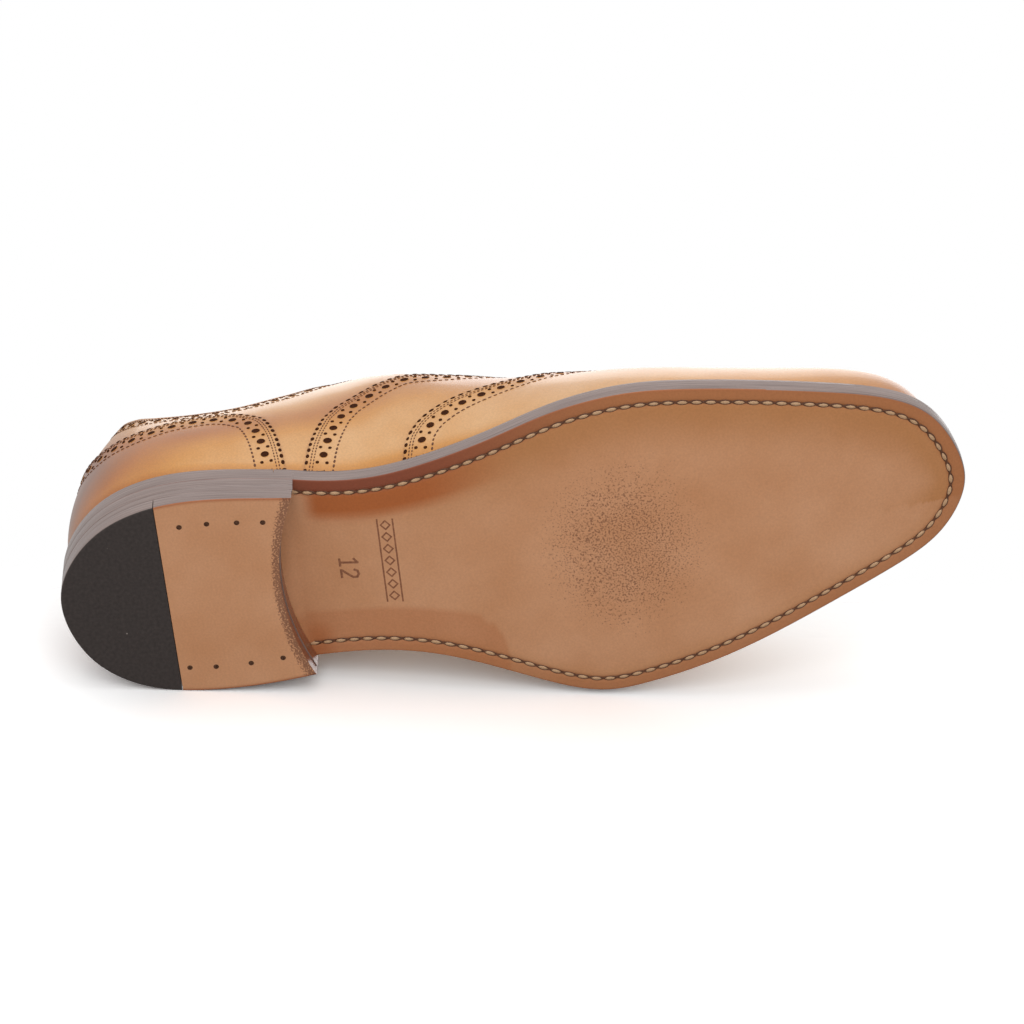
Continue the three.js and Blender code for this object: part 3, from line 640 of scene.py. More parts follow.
def sole_bend():
    """Oak-bark sole bend, sanded and sealed: pinkish tan with a short fibre grain, burnished darker
    round the edge and in the waist, with painted shade in the waist's lateral corner behind the heel
    breast, and left sanded and speckled under the ball of the foot."""
    made, tree, shader, place = new_material("sole_bend")
    field = {k: add(tree, "ShaderNodeAttribute", attribute_name=k).outputs["Fac"]
             for k in ("stain", "scuff", "warm", "rim", "ink")}
    cloud = add(tree, "ShaderNodeTexNoise", {"Vector": place, "Scale": per_mm(30), "Detail": 5.0})
    fibre = add(tree, "ShaderNodeTexNoise", {"Vector": place, "Scale": per_mm(0.8), "Detail": 3.0})
    base = add(tree, "ShaderNodeValToRGB", {"Fac": cloud.outputs["Fac"]}, stops=[
        (0.3, colour("#C68B60")), (0.7, colour("#D29A72"))])
    warm = add(tree, "ShaderNodeMix", {"Factor": field["warm"], 6: base.outputs["Color"],
                                       7: colour("#B4763E")}, data_type="RGBA")
    # Waist stain, with painted shade in the lateral corner behind the heel breast.
    stained_and_shaded = add(tree, "ShaderNodeMix", {"Factor": field["stain"], 6: warm.outputs[2],
                                          7: colour("#B0602A")}, data_type="RGBA")
    bordered = add(tree, "ShaderNodeMix", {"Factor": field["rim"], 6: stained_and_shaded.outputs[2],
                                           7: colour("#A8633A")}, data_type="RGBA")
    rimmed = add(tree, "ShaderNodeMix", {"Factor": field["ink"], 6: bordered.outputs[2],
                                         7: colour("#84402A")}, data_type="RGBA")
    grain = add(tree, "ShaderNodeMapRange", {"Value": fibre.outputs["Fac"], "From Min": 0.3,
                                             "From Max": 0.7, "To Min": 0.94, "To Max": 1.05})
    grained = add(tree, "ShaderNodeMix", {"Factor": 1.0, 6: rimmed.outputs[2],
                                          7: grain.outputs["Result"]},
                  data_type="RGBA", blend_type="MULTIPLY")
    # Sanding opens dark pores about half a millimetre across, drawn a little coarser to show.
    grit = add(tree, "ShaderNodeTexNoise", {"Vector": place, "Scale": per_mm(0.7), "Detail": 2.0,
                                            "Roughness": 0.6})
    opened = add(tree, "ShaderNodeMath", {0: field["scuff"], 1: grit.outputs["Fac"]},
                 operation="MULTIPLY")
    pores = add(tree, "ShaderNodeMapRange", {"Value": opened.outputs[0], "From Min": 0.47,
                                             "From Max": 0.62, "To Max": 0.75})
    scuffed = add(tree, "ShaderNodeMix", {"Factor": pores.outputs["Result"], 6: grained.outputs[2],
                                          7: colour("#6E4431")}, data_type="RGBA")
    tree.links.new(scuffed.outputs[2], shader.inputs["Base Color"])
    bump = add(tree, "ShaderNodeBump", {"Height": fibre.outputs["Fac"], "Strength": 0.25,
                                        "Distance": 0.00012})
    tree.links.new(bump.outputs["Normal"], shader.inputs["Normal"])
    rough = add(tree, "ShaderNodeMapRange", {"Value": field["scuff"], "To Min": 0.5, "To Max": 0.8})
    tree.links.new(rough.outputs["Result"], shader.inputs["Roughness"])
    return made


def edge_dressing(name, dark, light):
    """Leather edges, trimmed, inked and waxed with a hot iron: grey-brown with fine lines drawn
    along the edge by the iron and a soft shine."""
    made, tree, shader, _ = new_material(name)
    around = add(tree, "ShaderNodeAttribute", attribute_name="around").outputs["Fac"]
    height = add(tree, "ShaderNodeAttribute", attribute_name="height").outputs["Fac"]
    streak = add(tree, "ShaderNodeCombineXYZ", {"X": around, "Y": height})
    stretched = add(tree, "ShaderNodeMapping", {"Vector": streak.outputs[0], "Scale": (0.03, 2.4, 1)})
    lines = add(tree, "ShaderNodeTexNoise", {"Vector": stretched.outputs[0], "Scale": 1.0,
                                             "Detail": 5.0, "Roughness": 0.65})
    tone = add(tree, "ShaderNodeValToRGB", {"Fac": lines.outputs["Fac"]}, stops=[
        (0.3, colour(dark)), (0.72, colour(light))])
    tree.links.new(tone.outputs["Color"], shader.inputs["Base Color"])
    bump = add(tree, "ShaderNodeBump", {"Height": lines.outputs["Fac"], "Strength": 0.35,
                                        "Distance": 0.00015})
    tree.links.new(bump.outputs["Normal"], shader.inputs["Normal"])
    shader.inputs["Roughness"].default_value = 0.4
    shader.inputs["Coat Weight"].default_value = 0.6
    shader.inputs["Coat Roughness"].default_value = 0.22
    return made


def rubber_tip():
    """Moulded heel rubber, matt and nearly black, with a few pale specks and small pits."""
    made, tree, shader, place = new_material("moulded_rubber")
    cell = add(tree, "ShaderNodeTexVoronoi", {"Vector": place, "Scale": per_mm(7.0)}, feature="F1")
    fine = add(tree, "ShaderNodeTexNoise", {"Vector": place, "Scale": per_mm(1.2), "Detail": 4.0})
    speck = add(tree, "ShaderNodeMapRange", {"Value": cell.outputs["Distance"], "From Min": 0.035,
                                             "From Max": 0.06, "To Min": 1.0, "To Max": 0.0})
    tone = add(tree, "ShaderNodeValToRGB", {"Fac": fine.outputs["Fac"]}, stops=[
        (0.3, colour("#322A27")), (0.7, colour("#3F3633"))])
    mixed = add(tree, "ShaderNodeMix", {"Factor": speck.outputs["Result"], 6: tone.outputs["Color"],
                                        7: colour("#8A7F78")}, data_type="RGBA")
    tree.links.new(mixed.outputs[2], shader.inputs["Base Color"])
    bump = add(tree, "ShaderNodeBump", {"Height": fine.outputs["Fac"], "Strength": 0.25,
                                        "Distance": 0.0001})
    tree.links.new(bump.outputs["Normal"], shader.inputs["Normal"])
    shader.inputs["Roughness"].default_value = 0.62
    return made


def fibrous(name, dark, light, grain_mm, roughness, bump_mm=0.15, metallic=0.0, specular=0.5):
    """A plain stock with a fine random grain: its colours, grain width and finish are given."""
    made, tree, shader, place = new_material(name)
    grain = add(tree, "ShaderNodeTexNoise", {"Vector": place, "Scale": per_mm(grain_mm), "Detail": 4.0})
    tone = add(tree, "ShaderNodeValToRGB", {"Fac": grain.outputs["Fac"]}, stops=[
        (0.32, colour(dark)), (0.68, colour(light))])
    tree.links.new(tone.outputs["Color"], shader.inputs["Base Color"])
    bump = add(tree, "ShaderNodeBump", {"Height": grain.outputs["Fac"], "Strength": 0.4,
                                        "Distance": bump_mm * MM})
    tree.links.new(bump.outputs["Normal"], shader.inputs["Normal"])
    shader.inputs["Roughness"].default_value = roughness
    shader.inputs["Metallic"].default_value = metallic
    shader.inputs["Specular IOR Level"].default_value = specular
    return made


ROW_TREE = row_tree()
CALF = burnished_calf()
SOLE = sole_bend()
# Inked edges of the sole, welt and heel; the breast is stained redder and waxed.
EDGE = edge_dressing("waxed_edge", "#5E4A44", "#98857E")
BREAST = edge_dressing("stained_breast", "#6A3820", "#96583A")
RUBBER = rubber_tip()
# Waxed linen: pale on the sole seam, brown on the upper.
SOLE_THREAD = fibrous("waxed_linen", "#B08760", "#D0AB86", 0.35, 0.55, 0.2)
DARK_THREAD = fibrous("pitched_linen", "#4A2A18", "#6E4429", 0.35, 0.6, 0.2)
UPPER_THREAD = fibrous("brown_thread", "#4E2A14", "#704022", 0.3, 0.6, 0.1)
# Painted shade: a dark stock for the shaded bottom of a punched hole, where the backing leather
# shows, and for the notches along a pinked edge.
HOLLOW_SHADE = fibrous("painted_hollow_shade", "#2A150C", "#4A2815", 0.5, 0.95, 0.05, specular=0.08)
# Vegetable-tanned lining calf, pale and almost matt.
LINING = fibrous("lining_calf", "#B98B5C", "#CFA273", 1.4, 0.55, 0.08)
INSOLE = fibrous("insole_shoulder", "#B08A62", "#C7A37B", 1.0, 0.7, 0.1)
BOARD = fibrous("leatherboard", "#6E5138", "#8D6C4C", 0.9, 0.85, 0.15)
CORK = fibrous("ground_cork", "#7B5632", "#B98E5E", 2.2, 0.95, 0.4)
NAIL = fibrous("browned_steel", "#4A3022", "#7A5540", 0.8, 0.42, 0.05, metallic=0.7)
BRASS = fibrous("antiqued_brass", "#6B4A24", "#9A7340", 0.9, 0.35, 0.04, metallic=1.0)
STEEL = fibrous("spring_steel", "#6D6F73", "#8C8E92", 1.5, 0.38, 0.04, metallic=1.0)
# Round waxed cotton lace: tight braid, slight sheen.
LACE = fibrous("waxed_cotton", "#4A2C18", "#6E4628", 0.7, 0.5, 0.25)


def fit(piece, finishes, slot, *nodes, body="shoe"):
    """Gives a finished piece its materials and its CAD body, and hides the nodes it stands for. slot is
    not used.
    """
    piece.data.materials.clear()
    for finish in finishes:
        piece.data.materials.append(finish)
    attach(piece, body)
    if nodes:
        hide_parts(*nodes)
    return piece


# ---- Sole and heel --------------------------------------------------------------------------
# Distances in from a plate's edge at which its mesh has a line, close together round the seam.
RIM_INSETS = np.array([0, 0.12, 0.3, 0.55, 0.9, 1.5, 2.4, 3.4,
                       4.2, 4.6, 4.9, 5.2, 5.5, 5.8, 6.2, 7, 8])
ROUNDING = 0.55       # the radius of a plate's lower edge
STRAIGHTENED = 10.0   # how far from a cut end the mesh turns from square to the edge to along it


def plate(name, start, end, rows, bottom, top, inset=0.0, bow=0.0, groove=0.0, fields=None):
    """A layer of the sole or heel across the shoe's whole width between two q stations. Its bottom
    edge is rounded, bow moves the middle of its front edge, and groove is the seam's depth."""
    q = np.linspace(start, end, rows)[:, None]
    middle = np.linspace(0, 1, 26)[1:-1]
    edges = {}
    for side in SIDES:
        s, x, _, _ = edge(side, q, inset + RIM_INSETS[None, :])
        edges[side] = (s, x)
    s, x = (np.concatenate([near, mix(near[:, -1:], far[:, -1:], middle[None, :]), far[:, ::-1]], 1)
            for near, far in zip(edges[MEDIAL], edges[LATERAL]))
    deepest = RIM_INSETS[-1]
    depth_in = np.r_[RIM_INSETS, np.full(len(middle), deepest), RIM_INSETS[::-1]][None, :] + 0 * q
    width = np.maximum(x[:, -1:] - x[:, :1], 1e-6)
    share = np.clip((x - x[:, :1]) / width, 0, 1)
    for stop in (start, end):
        if 0 < stop < 1:
            straight = 1 - ease(0, STRAIGHTENED, np.abs(q - stop) * GIRTH)
            s = mix(s, mix(s[:, :1], s[:, -1:], share), straight)
    bend = bow * ((q - start) / (end - start)) ** 2
    s = s + bend * (1 - (2 * share - 1) ** 2)
    from_side = np.minimum(share, 1 - share) * width
    depth_in = np.where(depth_in < deepest, depth_in, np.maximum(deepest, from_side))
    corner = np.clip(ROUNDING - depth_in, 0, ROUNDING)
    lift = ROUNDING - np.sqrt(np.maximum(ROUNDING**2 - corner**2, 0))
    sewn = groove * bell(SEAM_INSET, 0.75, depth_in) * ease(BREAST_Q - 0.004, BREAST_Q + 0.004, q)
    low = at(s, x, bottom(s, x) + lift + sewn)
    high = at(s, x, top(s, x) + 0 * s)
    extra = [("around", [q * GIRTH * np.where(share < 0.5, 1, 1.07) + 0 * s])]
    for field, rule in (fields or {}).items():
        extra.append((field, [rule(s, x, depth_in, q + 0 * s) + 0 * s]))
    made = shell(name, [(low, high)], extra)
    levels = np.zeros(len(made.data.vertices) * 3)
    made.data.vertices.foreach_get("co", levels)
    levels = levels.reshape(-1, 3) / MM
    stations = LENGTH / 2 - levels[:, 1]
    high_up = bottom(stations, levels[:, 0]) > 12.0
    paint(made.data, "height",
          levels[:, 2] - np.where(high_up, 0, sole_z(stations, levels[:, 0])))
    return made


def dress_sides(piece, side_index, breast_index=None):
    """Gives the upright faces the edge finish, and the front face the breast finish."""
    for face in piece.data.polygons:
        if abs(face.normal.z) < 0.75:
            front = breast_index is not None and face.normal.y < -0.5
            face.material_index = breast_index if front else side_index


def lateral_arc(s, x):
    """Inside 1, outside 0: the rounded patch where the lateral waist was burnished."""
    reach = np.abs((s - 110) / 42) ** 3 + np.abs((x - 45) / 25) ** 3
    return 1 - ease(0.94, 1.02, reach)


def waist_stain_and_shade(s, x, inset, q):
    """Dye worked into the waist: a strong patch along the medial side and a faint one with a rounded
    end along the lateral side; and painted shade in the lateral corner just behind the heel breast."""
    medial = (x < 2) * ease(85, 92, s) * (1 - ease(125, 168, s)) * (1 - ease(12.5, 18, inset))
    # Painted shade in the corner between the heel breast and the lateral waist.
    corner = (s > 78) * (x > 0) * bell(86, 8, s) * (1 - ease(8, 22, inset))
    return np.clip(np.maximum.reduce([1.0 * medial, 0.35 * lateral_arc(s, x), 0.7 * corner]), 0, 1)


def rim_burnish(s, x, inset, q):
    """The burnished border outside the seam, paler along the lateral waist."""
    border = 0.55 * (1 - ease(5.2, 7.0, inset)) + 0.4 * (1 - ease(0, 1.2, inset))
    return border * np.where(x > 0, 0.45 + 0.4 * ease(130, 190, s), 1.0)


def rim_ink(s, x, inset, q):
    """Edge ink over the border of the medial waist, thinning towards the ball."""
    return 0.85 * (x < 0) * (1 - ease(4.8, 6.6, inset)) * (1 - ease(110, 215, s))


def thin_rim(s, x, inset, q):
    """The top piece is only darkened in the last millimetre of its edge."""
    return 1 - ease(0.2, 1.4, inset)


def ball_scuff(s, x, inset, q):
    reach = np.sqrt(((s - 195) / 42) ** 2 + (x / 50) ** 2)
    return 0.98 - 0.42 * ease(0.25, 1.15, reach) - 0.3 * ease(1.1, 1.7, reach)


def fore_warmth(s, x, inset, q):
    """The dressing that ran in from the burnished edge, deeper on the medial side."""
    medial = (x < 0) * (1 - ease(5, 30, inset)) * 0.75
    return np.clip(np.maximum(medial, (1 - ease(4, 11, inset)) * 0.4) * ease(95, 150, s), 0, 1)


def breast_fringe(s, x, inset, q):
    """Rasping the breast darkened the last few millimetres of the top piece."""
    return 1.35 * (1 - ease(1.0, 8.0, (BREAST_Q - q) * GIRTH))


def level(height):
    """A flat face of a plate."""
    return lambda s, x: height + 0 * s


def over_sole(height):
    """A face of a plate that follows the sole's underside."""
    return lambda s, x: sole_z(s, x) + height


def plain(s, x, inset, q):
    return 0.0


def make_sole():
    outsole = plate("outsole_leather", 0, 1, 361, sole_z, over_sole(OUTSOLE), groove=0.5,
                    fields={"stain": waist_stain_and_shade, "scuff": ball_scuff, "warm": fore_warmth,
                            "rim": rim_burnish, "ink": rim_ink})
    fit(outsole, [SOLE, EDGE], "sole_leather", "outsole")
    dress_sides(outsole, 1)
    rubber = plate("rubber_tip", 0, TIP_Q, 60, level(0), level(TOP_PIECE))
    fit(rubber, [RUBBER, EDGE], "heel_rubber", "rubber_quarter_tip")
    dress_sides(rubber, 1)
    bare = {"stain": plain, "scuff": breast_fringe, "warm": plain, "rim": thin_rim, "ink": plain}
    leather = plate("top_piece_leather", TIP_Q + 0.0008, BREAST_Q, 48, level(0), level(TOP_PIECE),
                    bow=BREAST_BOW, fields=bare)
    fit(leather, [SOLE, EDGE, BREAST], "sole_leather", "leather_top_piece")
    dress_sides(leather, 1, 2)
    first = TOP_PIECE + 0.12
    second = first + LIFT + 0.25
    lifts = (("heel_lift_lower", "heel_lift_1", level(first), level(first + LIFT), 0.12),
             ("heel_lift_upper", "heel_lift_2", level(second), over_sole(-0.1), 0.0))
    for name, node, bottom, top, inset in lifts:
        lift = plate(name, 0, BREAST_Q + 0.001, 100, bottom, top, inset=inset, bow=BREAST_BOW)
        fit(lift, [EDGE, EDGE, BREAST], "edge_dressed_leather", node)
        dress_sides(lift, 1, 2)


def band_round(name, stations, profile):
    """A bar round the edge of the sole: profile is its cut as (inset, height over the sole)."""
    cut = np.array(profile, float)
    rows, around = [], []
    for side, q in stations:
        s, x, _, _ = edge(side, np.full(len(cut), q), cut[:, 0])
        rows.append(at(s, x, sole_z(s, x) + cut[:, 1]))
        around.append(np.full(len(cut), q * GIRTH))
    n, k = len(rows), len(cut)
    faces = [[i * k + j, i * k + (j + 1) % k, (i + 1) * k + (j + 1) % k, (i + 1) * k + j]
             for i in range(n - 1) for j in range(k)]
    faces.append(list(range(k))[::-1])
    faces.append([(n - 1) * k + j for j in range(k)])
    mesh = bpy.data.meshes.new(name)
    mesh.from_pydata((np.concatenate(rows) * MM).tolist(), [], faces)
    paint(mesh, "around", np.concatenate(around))
    paint(mesh, "height", np.tile(cut[:, 1], n))
    turn_outwards(mesh)
    smooth(mesh)
    return new_object(name, mesh)


def round_toe(start, count):
    qs = np.linspace(start, 1, count)
    return [(MEDIAL, q) for q in qs] + [(LATERAL, q) for q in qs[::-1][1:]]


RAND_Q = 0.2715   # where the heel's rand ends and the welt begins


def make_welt():
    low = OUTSOLE + 0.12
    profile = [(0.45, low), (0.22, low + 0.25), (0.2, low + 1.2), (0.22, WELT_TOP - 0.45),
               (0.5, WELT_TOP - 0.08), (1.0, WELT_TOP), (9, WELT_TOP), (9, low)]
    welt = band_round("storm_welt", round_toe(RAND_Q + 0.0005, 320), profile)
    fit(welt, [EDGE], "edge_dressed_leather", "welt")
    back = [(MEDIAL, abs(q)) for q in np.linspace(RAND_Q, 0, 110)]
    back += [(LATERAL, q) for q in np.linspace(0, RAND_Q, 110)[1:]]
    rand = band_round("seat_rand", back, profile)
    fit(rand, [EDGE], "edge_dressed_leather", "heel_rand")


def sole_line(inset, start=BREAST_Q + 0.002, proud=0.0, top=False):
    """A line round the sole at an inset that may vary with q, on its underside or on the welt."""
    points = []
    for side, q in round_toe(start, 700):
        move = inset(q) if callable(inset) else inset
        s, x, _, _ = edge(side, q, move)
        z = sole_z(s, x) + (WELT_TOP + proud if top else -proud)
        points.append(at(s, x, z))
    points = np.array(points)
    ups = np.tile([0, 0, 1.0 if top else -1.0], (len(points), 1))
    return cut_line(points, ups, 0, run_of(points)[-1])


def make_sole_seam():
    """The sole is sewn in a shallow channel: pale stitches framed by two dark strands that cross."""
    pitch, amplitude = 4.8, 0.72
    points, ups = sole_line(SEAM_INSET, proud=-0.22)
    pitch = run_of(points)[-1] / int(run_of(points)[-1] / pitch)
    seed = blob("stitch_seed", 4.15, 1.65, 1.0)
    stitches = lay_row("sole_stitches", [(points, ups)], pitch * 0.9999, seed, SOLE_THREAD, 0.05, 3)
    fit(stitches, [SOLE_THREAD], "waxed_cotton")
    bpy.data.objects.remove(seed)
    run = run_of(points)
    across = np.cross(unit(np.gradient(points, axis=0)), ups)
    wave = amplitude * np.cos(math.pi * run / pitch)[:, None] * across
    lower = points + ups * 0.02
    strands = [(lower + wave, ups), (lower - wave, ups)]
    framed = sweep("sole_seam_strands", strands, round_section(0.34, 6, 0.8))
    fit(framed, [DARK_THREAD], "waxed_cotton")
    seed = blob("welt_seed", 2.5, 0.85, 0.6)
    welted = sole_line(lambda q: margin(q) * 0.5, start=0.33, proud=0.08, top=True)
    row = lay_row("welt_stitches", [welted], 3.3, seed, SOLE_THREAD, 0.05, 4)
    fit(row, [SOLE_THREAD], "waxed_cotton")
    bpy.data.objects.remove(seed)


def make_nails():
    head = turned("nail_seed", [(0, -0.06), (0.7, -0.05), (1.1, 0.02),
                                (1.2, 0.2), (1.2, 2.4), (0, 2.4)])
    work = bmesh.new()
    nodes = []
    for side in SIDES:
        for q in NAIL_QS[side]:
            s, x, _, _ = edge(side, q, NAIL_INSET)
            copy = head.data.copy()
            copy.transform(Matrix.Translation(Vector(at(s, x, 0.0)) * MM))
            work.from_mesh(copy)
            bpy.data.meshes.remove(copy)
            nodes.append(f"top_piece_nail_{len(nodes) + 1}")
    mesh = bpy.data.meshes.new("top_piece_nails")
    work.to_mesh(mesh)
    work.free()
    smooth(mesh)
    bpy.data.objects.remove(head)
    fit(new_object("top_piece_nails", mesh), [NAIL], "nail_metal", *nodes)


# The size and a plain row of lozenges are pressed into the waist, read from the toe side.
SIZE_STROKES = [
    [(96.9, 1.0), (103.1, 1.0), (101.7, -0.7)], [(96.9, -0.5), (96.9, 2.5)],
    [(101.4, 3.9), (102.7, 4.5), (103.0, 5.7), (102.4, 6.9), (101.0, 7.1), (99.4, 6.0), (97.0, 4.0),
     (97.0, 7.3)],
]
ORNAMENT = dict(low=111.6, high=117.0, start=-16.5, end=17.5, count=7)


def make_stamp():
    strokes = []
    low, high, start, end = (ORNAMENT[k] for k in ("low", "high", "start", "end"))
    strokes += [[(low, start), (low, end)], [(high, start), (high, end)]]
    pitch = (end - start) / ORNAMENT["count"]
    middle, reach = (low + high) / 2, (high - low) * 0.3
    for i in range(ORNAMENT["count"]):
        x = start + pitch * (i + 0.5)
        half = pitch * 0.36
        strokes.append([(middle, x - half), (middle + reach, x), (middle, x + half),
                        (middle - reach, x), (middle, x - half)])
    stamps = []
    for lines, half in ((SIZE_STROKES, 0.58), (strokes, 0.36)):
        section = [(-half, -0.1), (half, -0.1), (half * 0.7, 0.03), (-half * 0.7, 0.03)]
        stamps.append(sweep(f"stamp_{half}", stamped_paths(lines), section))
    stamp = joined("waist_stamp", stamps)
    fit(stamp, [STAMPED], "sole_leather")


def stamped_paths(lines):
    """A short bar along the sole's underside for each stroke of each line."""
    paths = []
    for line in lines:
        for a, b in zip(line, line[1:]):
            a, b = np.array(a, float), np.array(b, float)
            way = (b - a) / np.linalg.norm(b - a) * 0.16
            bar = np.linspace(a - way, b + way, 8)
            points = at(bar[:, 0], bar[:, 1], sole_z(bar[:, 0], bar[:, 1]) - 0.01)
            paths.append((points, np.tile([0, 0, -1.0], (8, 1))))
    return paths


def joined(name, pieces):
    """One object from several, which are used up."""
    work = bmesh.new()
    for piece in pieces:
        work.from_mesh(piece.data)
        bpy.data.objects.remove(piece)
    mesh = bpy.data.meshes.new(name)
    work.to_mesh(mesh)
    work.free()
    smooth(mesh, 50)
    return new_object(name, mesh)


# Where the die has pressed and singed the leather.
STAMPED = fibrous("stamped_leather", "#7C4C32", "#9A6545", 0.8, 0.7, 0.1)


# ---- Upper ------------------------------------------------------------------------------------
SHEET = 0.9


def burnish(q, v):
    """Darker where the polish was worked in at the heel and toe; darker too towards the welt and over the
    lower forepart; and a painted shade band at mid-height under the seams, where the leather reflects
    darker.
    """
    heel = 0.95 * bell(0.03, 0.13, q) * bell(0.35, 0.4, v)
    # Painted shade: a darker band at mid-height, where the leather reflects darker.
    painted_shade_band = 0.38 * bell(0.5, 0.17, v) * (1 - ease(0.62, 0.75, q)) * ease(0.1, 0.2, q)
    toe = 0.4 * ease(0.8, 1.0, q) * (1 - 0.4 * v)
    foot = 0.25 * (1 - ease(0.0, 0.1, v)) + 0.25 * ease(0.5, 0.9, q) * (1 - ease(0.1, 0.5, v))
    return np.clip(0.14 + heel + painted_shade_band + toe + foot, 0, 1)


def distance_to(points, line):
    flat = points.reshape(-1, 3)
    found = [np.sqrt(((part[:, None] - line[None]) ** 2).sum(-1)).min(1)
             for part in np.array_split(flat, max(1, len(flat) // 4000))]
    return np.concatenate(found).reshape(points.shape[:-1])


def seam_points(sheet, side):
    q, v = seam_line(sheet, side)
    return upper(side, q[::3], v[::3])


def climb(rows):
    return 1 - (1 - np.linspace(0, 1, rows)) ** 1.3


def sheet_grid(side, q, v, lift):
    ways = normal(side, q, v)
    outside = upper(side, q, v) + ways * lift[..., None]
    pair = (outside, outside - ways * SHEET)
    return pair if side == MEDIAL else tuple(k[::-1] for k in pair)


def flipped(side, values):
    return values if side == MEDIAL else values[::-1]


def sheet(name, sides, places, lift_rule, edge_name):
    """A sheet of the upper. places gives its q and v grids, and lift_rule its height over the last."""
    grids, shade, near = [], [], []
    for side in sides:
        q, v = places(side)
        base = upper(side, q, v)
        lift = lift_rule(side, q, v, base)
        grids.append(sheet_grid(side, q, v, lift))
        shade.append(flipped(side, burnish(q, v)))
        from_edge = distance_to(base, seam_points(edge_name, side)) if edge_name else 9 + 0 * q
        near.append(flipped(side, from_edge))
    return shell(name, grids, [("burnish", shade), ("seam", near)])


UNDERLAP_Q = 0.02   # how far a sheet runs on beneath the one in front of it
SUNK = 1.15         # how far it drops to pass beneath


def filled(back, front, rows, v):
    """A grid of (q, v) places in rows from one line of q to another."""
    share = np.linspace(0, 1, rows)[:, None]
    return mix(back, front, share), v + 0 * share


def quarter_places(side):
    v = climb(76)[None, :]
    return filled(0.0, through(VAMP_REAR, v) + UNDERLAP_Q, 200, v)


def quarter_lift(side, q, v, base):
    in_vamp = q > through(VAMP_REAR, v)
    under_vamp = np.where(in_vamp, distance_to(base, seam_points("vamp", side)), 0)
    in_counter = (q < COUNTER_TOP[-1][0]) & (v < through(COUNTER_TOP, q))
    under_counter = np.where(in_counter, distance_to(base, seam_points("counter", side)), 0)
    return -SUNK * ease(0, 7, np.maximum(under_vamp, under_counter))


def vamp_places(side):
    v = climb(84)[None, :]
    return filled(through(VAMP_REAR, v), through(CAP_REAR, v) + UNDERLAP_Q, 76, v)


def vamp_lift(side, q, v, base):
    in_cap = q > through(CAP_REAR, v)
    under = np.where(in_cap, distance_to(base, seam_points("cap", side)), 0)
    lift = sheet_lift("vamp", distance_to(base, seam_points("vamp", side)))
    return lift - SUNK * ease(0, 7, under)


def cap_places(side):
    v = climb(84)[None, :]
    return filled(through(CAP_REAR, v), 1.0, 170, v)


def cap_lift(side, q, v, base):
    return sheet_lift("cap", distance_to(base, seam_points("cap", side)))


def counter_places(side):
    q, v = seam_line("counter", side)
    run = np.linspace(0, 1, len(q))
    t = np.linspace(0, 1, 220)
    edge_q, edge_v = np.interp(t, run, q)[:, None], np.interp(t, run, v)[:, None]
    r = np.linspace(0, 1, 56)[None, :]
    foot_q = 0.2 * t[:, None]
    return mix(foot_q, edge_q, r), mix(0.0, edge_v, r)


def counter_lift(side, q, v, base):
    return sheet_lift("counter", distance_to(base, seam_points("counter", side)))


def relax(piece, centre, radius, rounds):
    """Smooths the mesh round a point, where the ridge lines run together over the toe."""
    work = bmesh.new()
    work.from_mesh(piece.data)
    centre = Vector(centre) * MM
    near = [(v, 1 - (v.co - centre).length / (radius * MM)) for v in work.verts
            if (v.co - centre).length < radius * MM]
    for _ in range(rounds):
        moved = []
        for v, weight in near:
            around = [e.other_vert(v).co for e in v.link_edges]
            mean = sum(around, Vector()) / len(around)
            moved.append(v.co.lerp(mean, 0.5 * min(1, 2 * weight)))
        for (v, _), place in zip(near, moved):
            v.co = place
    work.to_mesh(piece.data)
    work.free()
    smooth(piece.data)


def cut_eyelet_holes(piece, side):
    """Punches the five lace holes through a quarter."""
    drill = bpy.data.meshes.new("lace_hole_drill")
    work = bmesh.new()
    for q in EYELET_QS:
        place = on_upper(side, np.array([q]), np.array([EYELET_V]))[0]
        way = Vector(normal(side, np.array([q]), np.array([EYELET_V]))[0])
        turn = way.to_track_quat("Z", "Y").to_matrix().to_4x4()
        bmesh.ops.create_cone(work, cap_ends=True, segments=20, radius1=1.9 * MM, radius2=1.9 * MM,
                              depth=5 * MM, matrix=Matrix.Translation(Vector(place) * MM) @ turn)
    work.to_mesh(drill)
    work.free()
    cutter = new_object("lace_hole_drill", drill)
    cut = piece.modifiers.new("lace holes", "BOOLEAN")
    cut.operation, cut.solver, cut.object = "DIFFERENCE", "EXACT", cutter
    bpy.context.view_layer.update()
    depsgraph = bpy.context.evaluated_depsgraph_get()
    made = bpy.data.meshes.new_from_object(piece.evaluated_get(depsgraph))
    piece.modifiers.remove(cut)
    piece.data = made
    bpy.data.objects.remove(cutter)
    smooth(piece.data)


def make_upper():
    for side, name in ((MEDIAL, "medial"), (LATERAL, "lateral")):
        quarter = sheet(f"{name}_quarter_leather", (side,), quarter_places, quarter_lift, None)
        cut_eyelet_holes(quarter, side)
        fit(quarter, [CALF], "calf_upper", f"{name}_quarter")
    counter = sheet("counter_leather", SIDES, counter_places, counter_lift, "counter")
    fit(counter, [CALF], "calf_upper", "heel_counter_cover")
    vamp = sheet("vamp_leather", SIDES, vamp_places, vamp_lift, "vamp")
    fit(vamp, [CALF], "calf_upper", "vamp")
    cap = sheet("wing_cap_leather", SIDES, cap_places, cap_lift, "cap")
    relax(cap, upper(MEDIAL, 1.0, 1.0), 24, 60)
    fit(cap, [CALF], "calf_upper", "wing_cap")


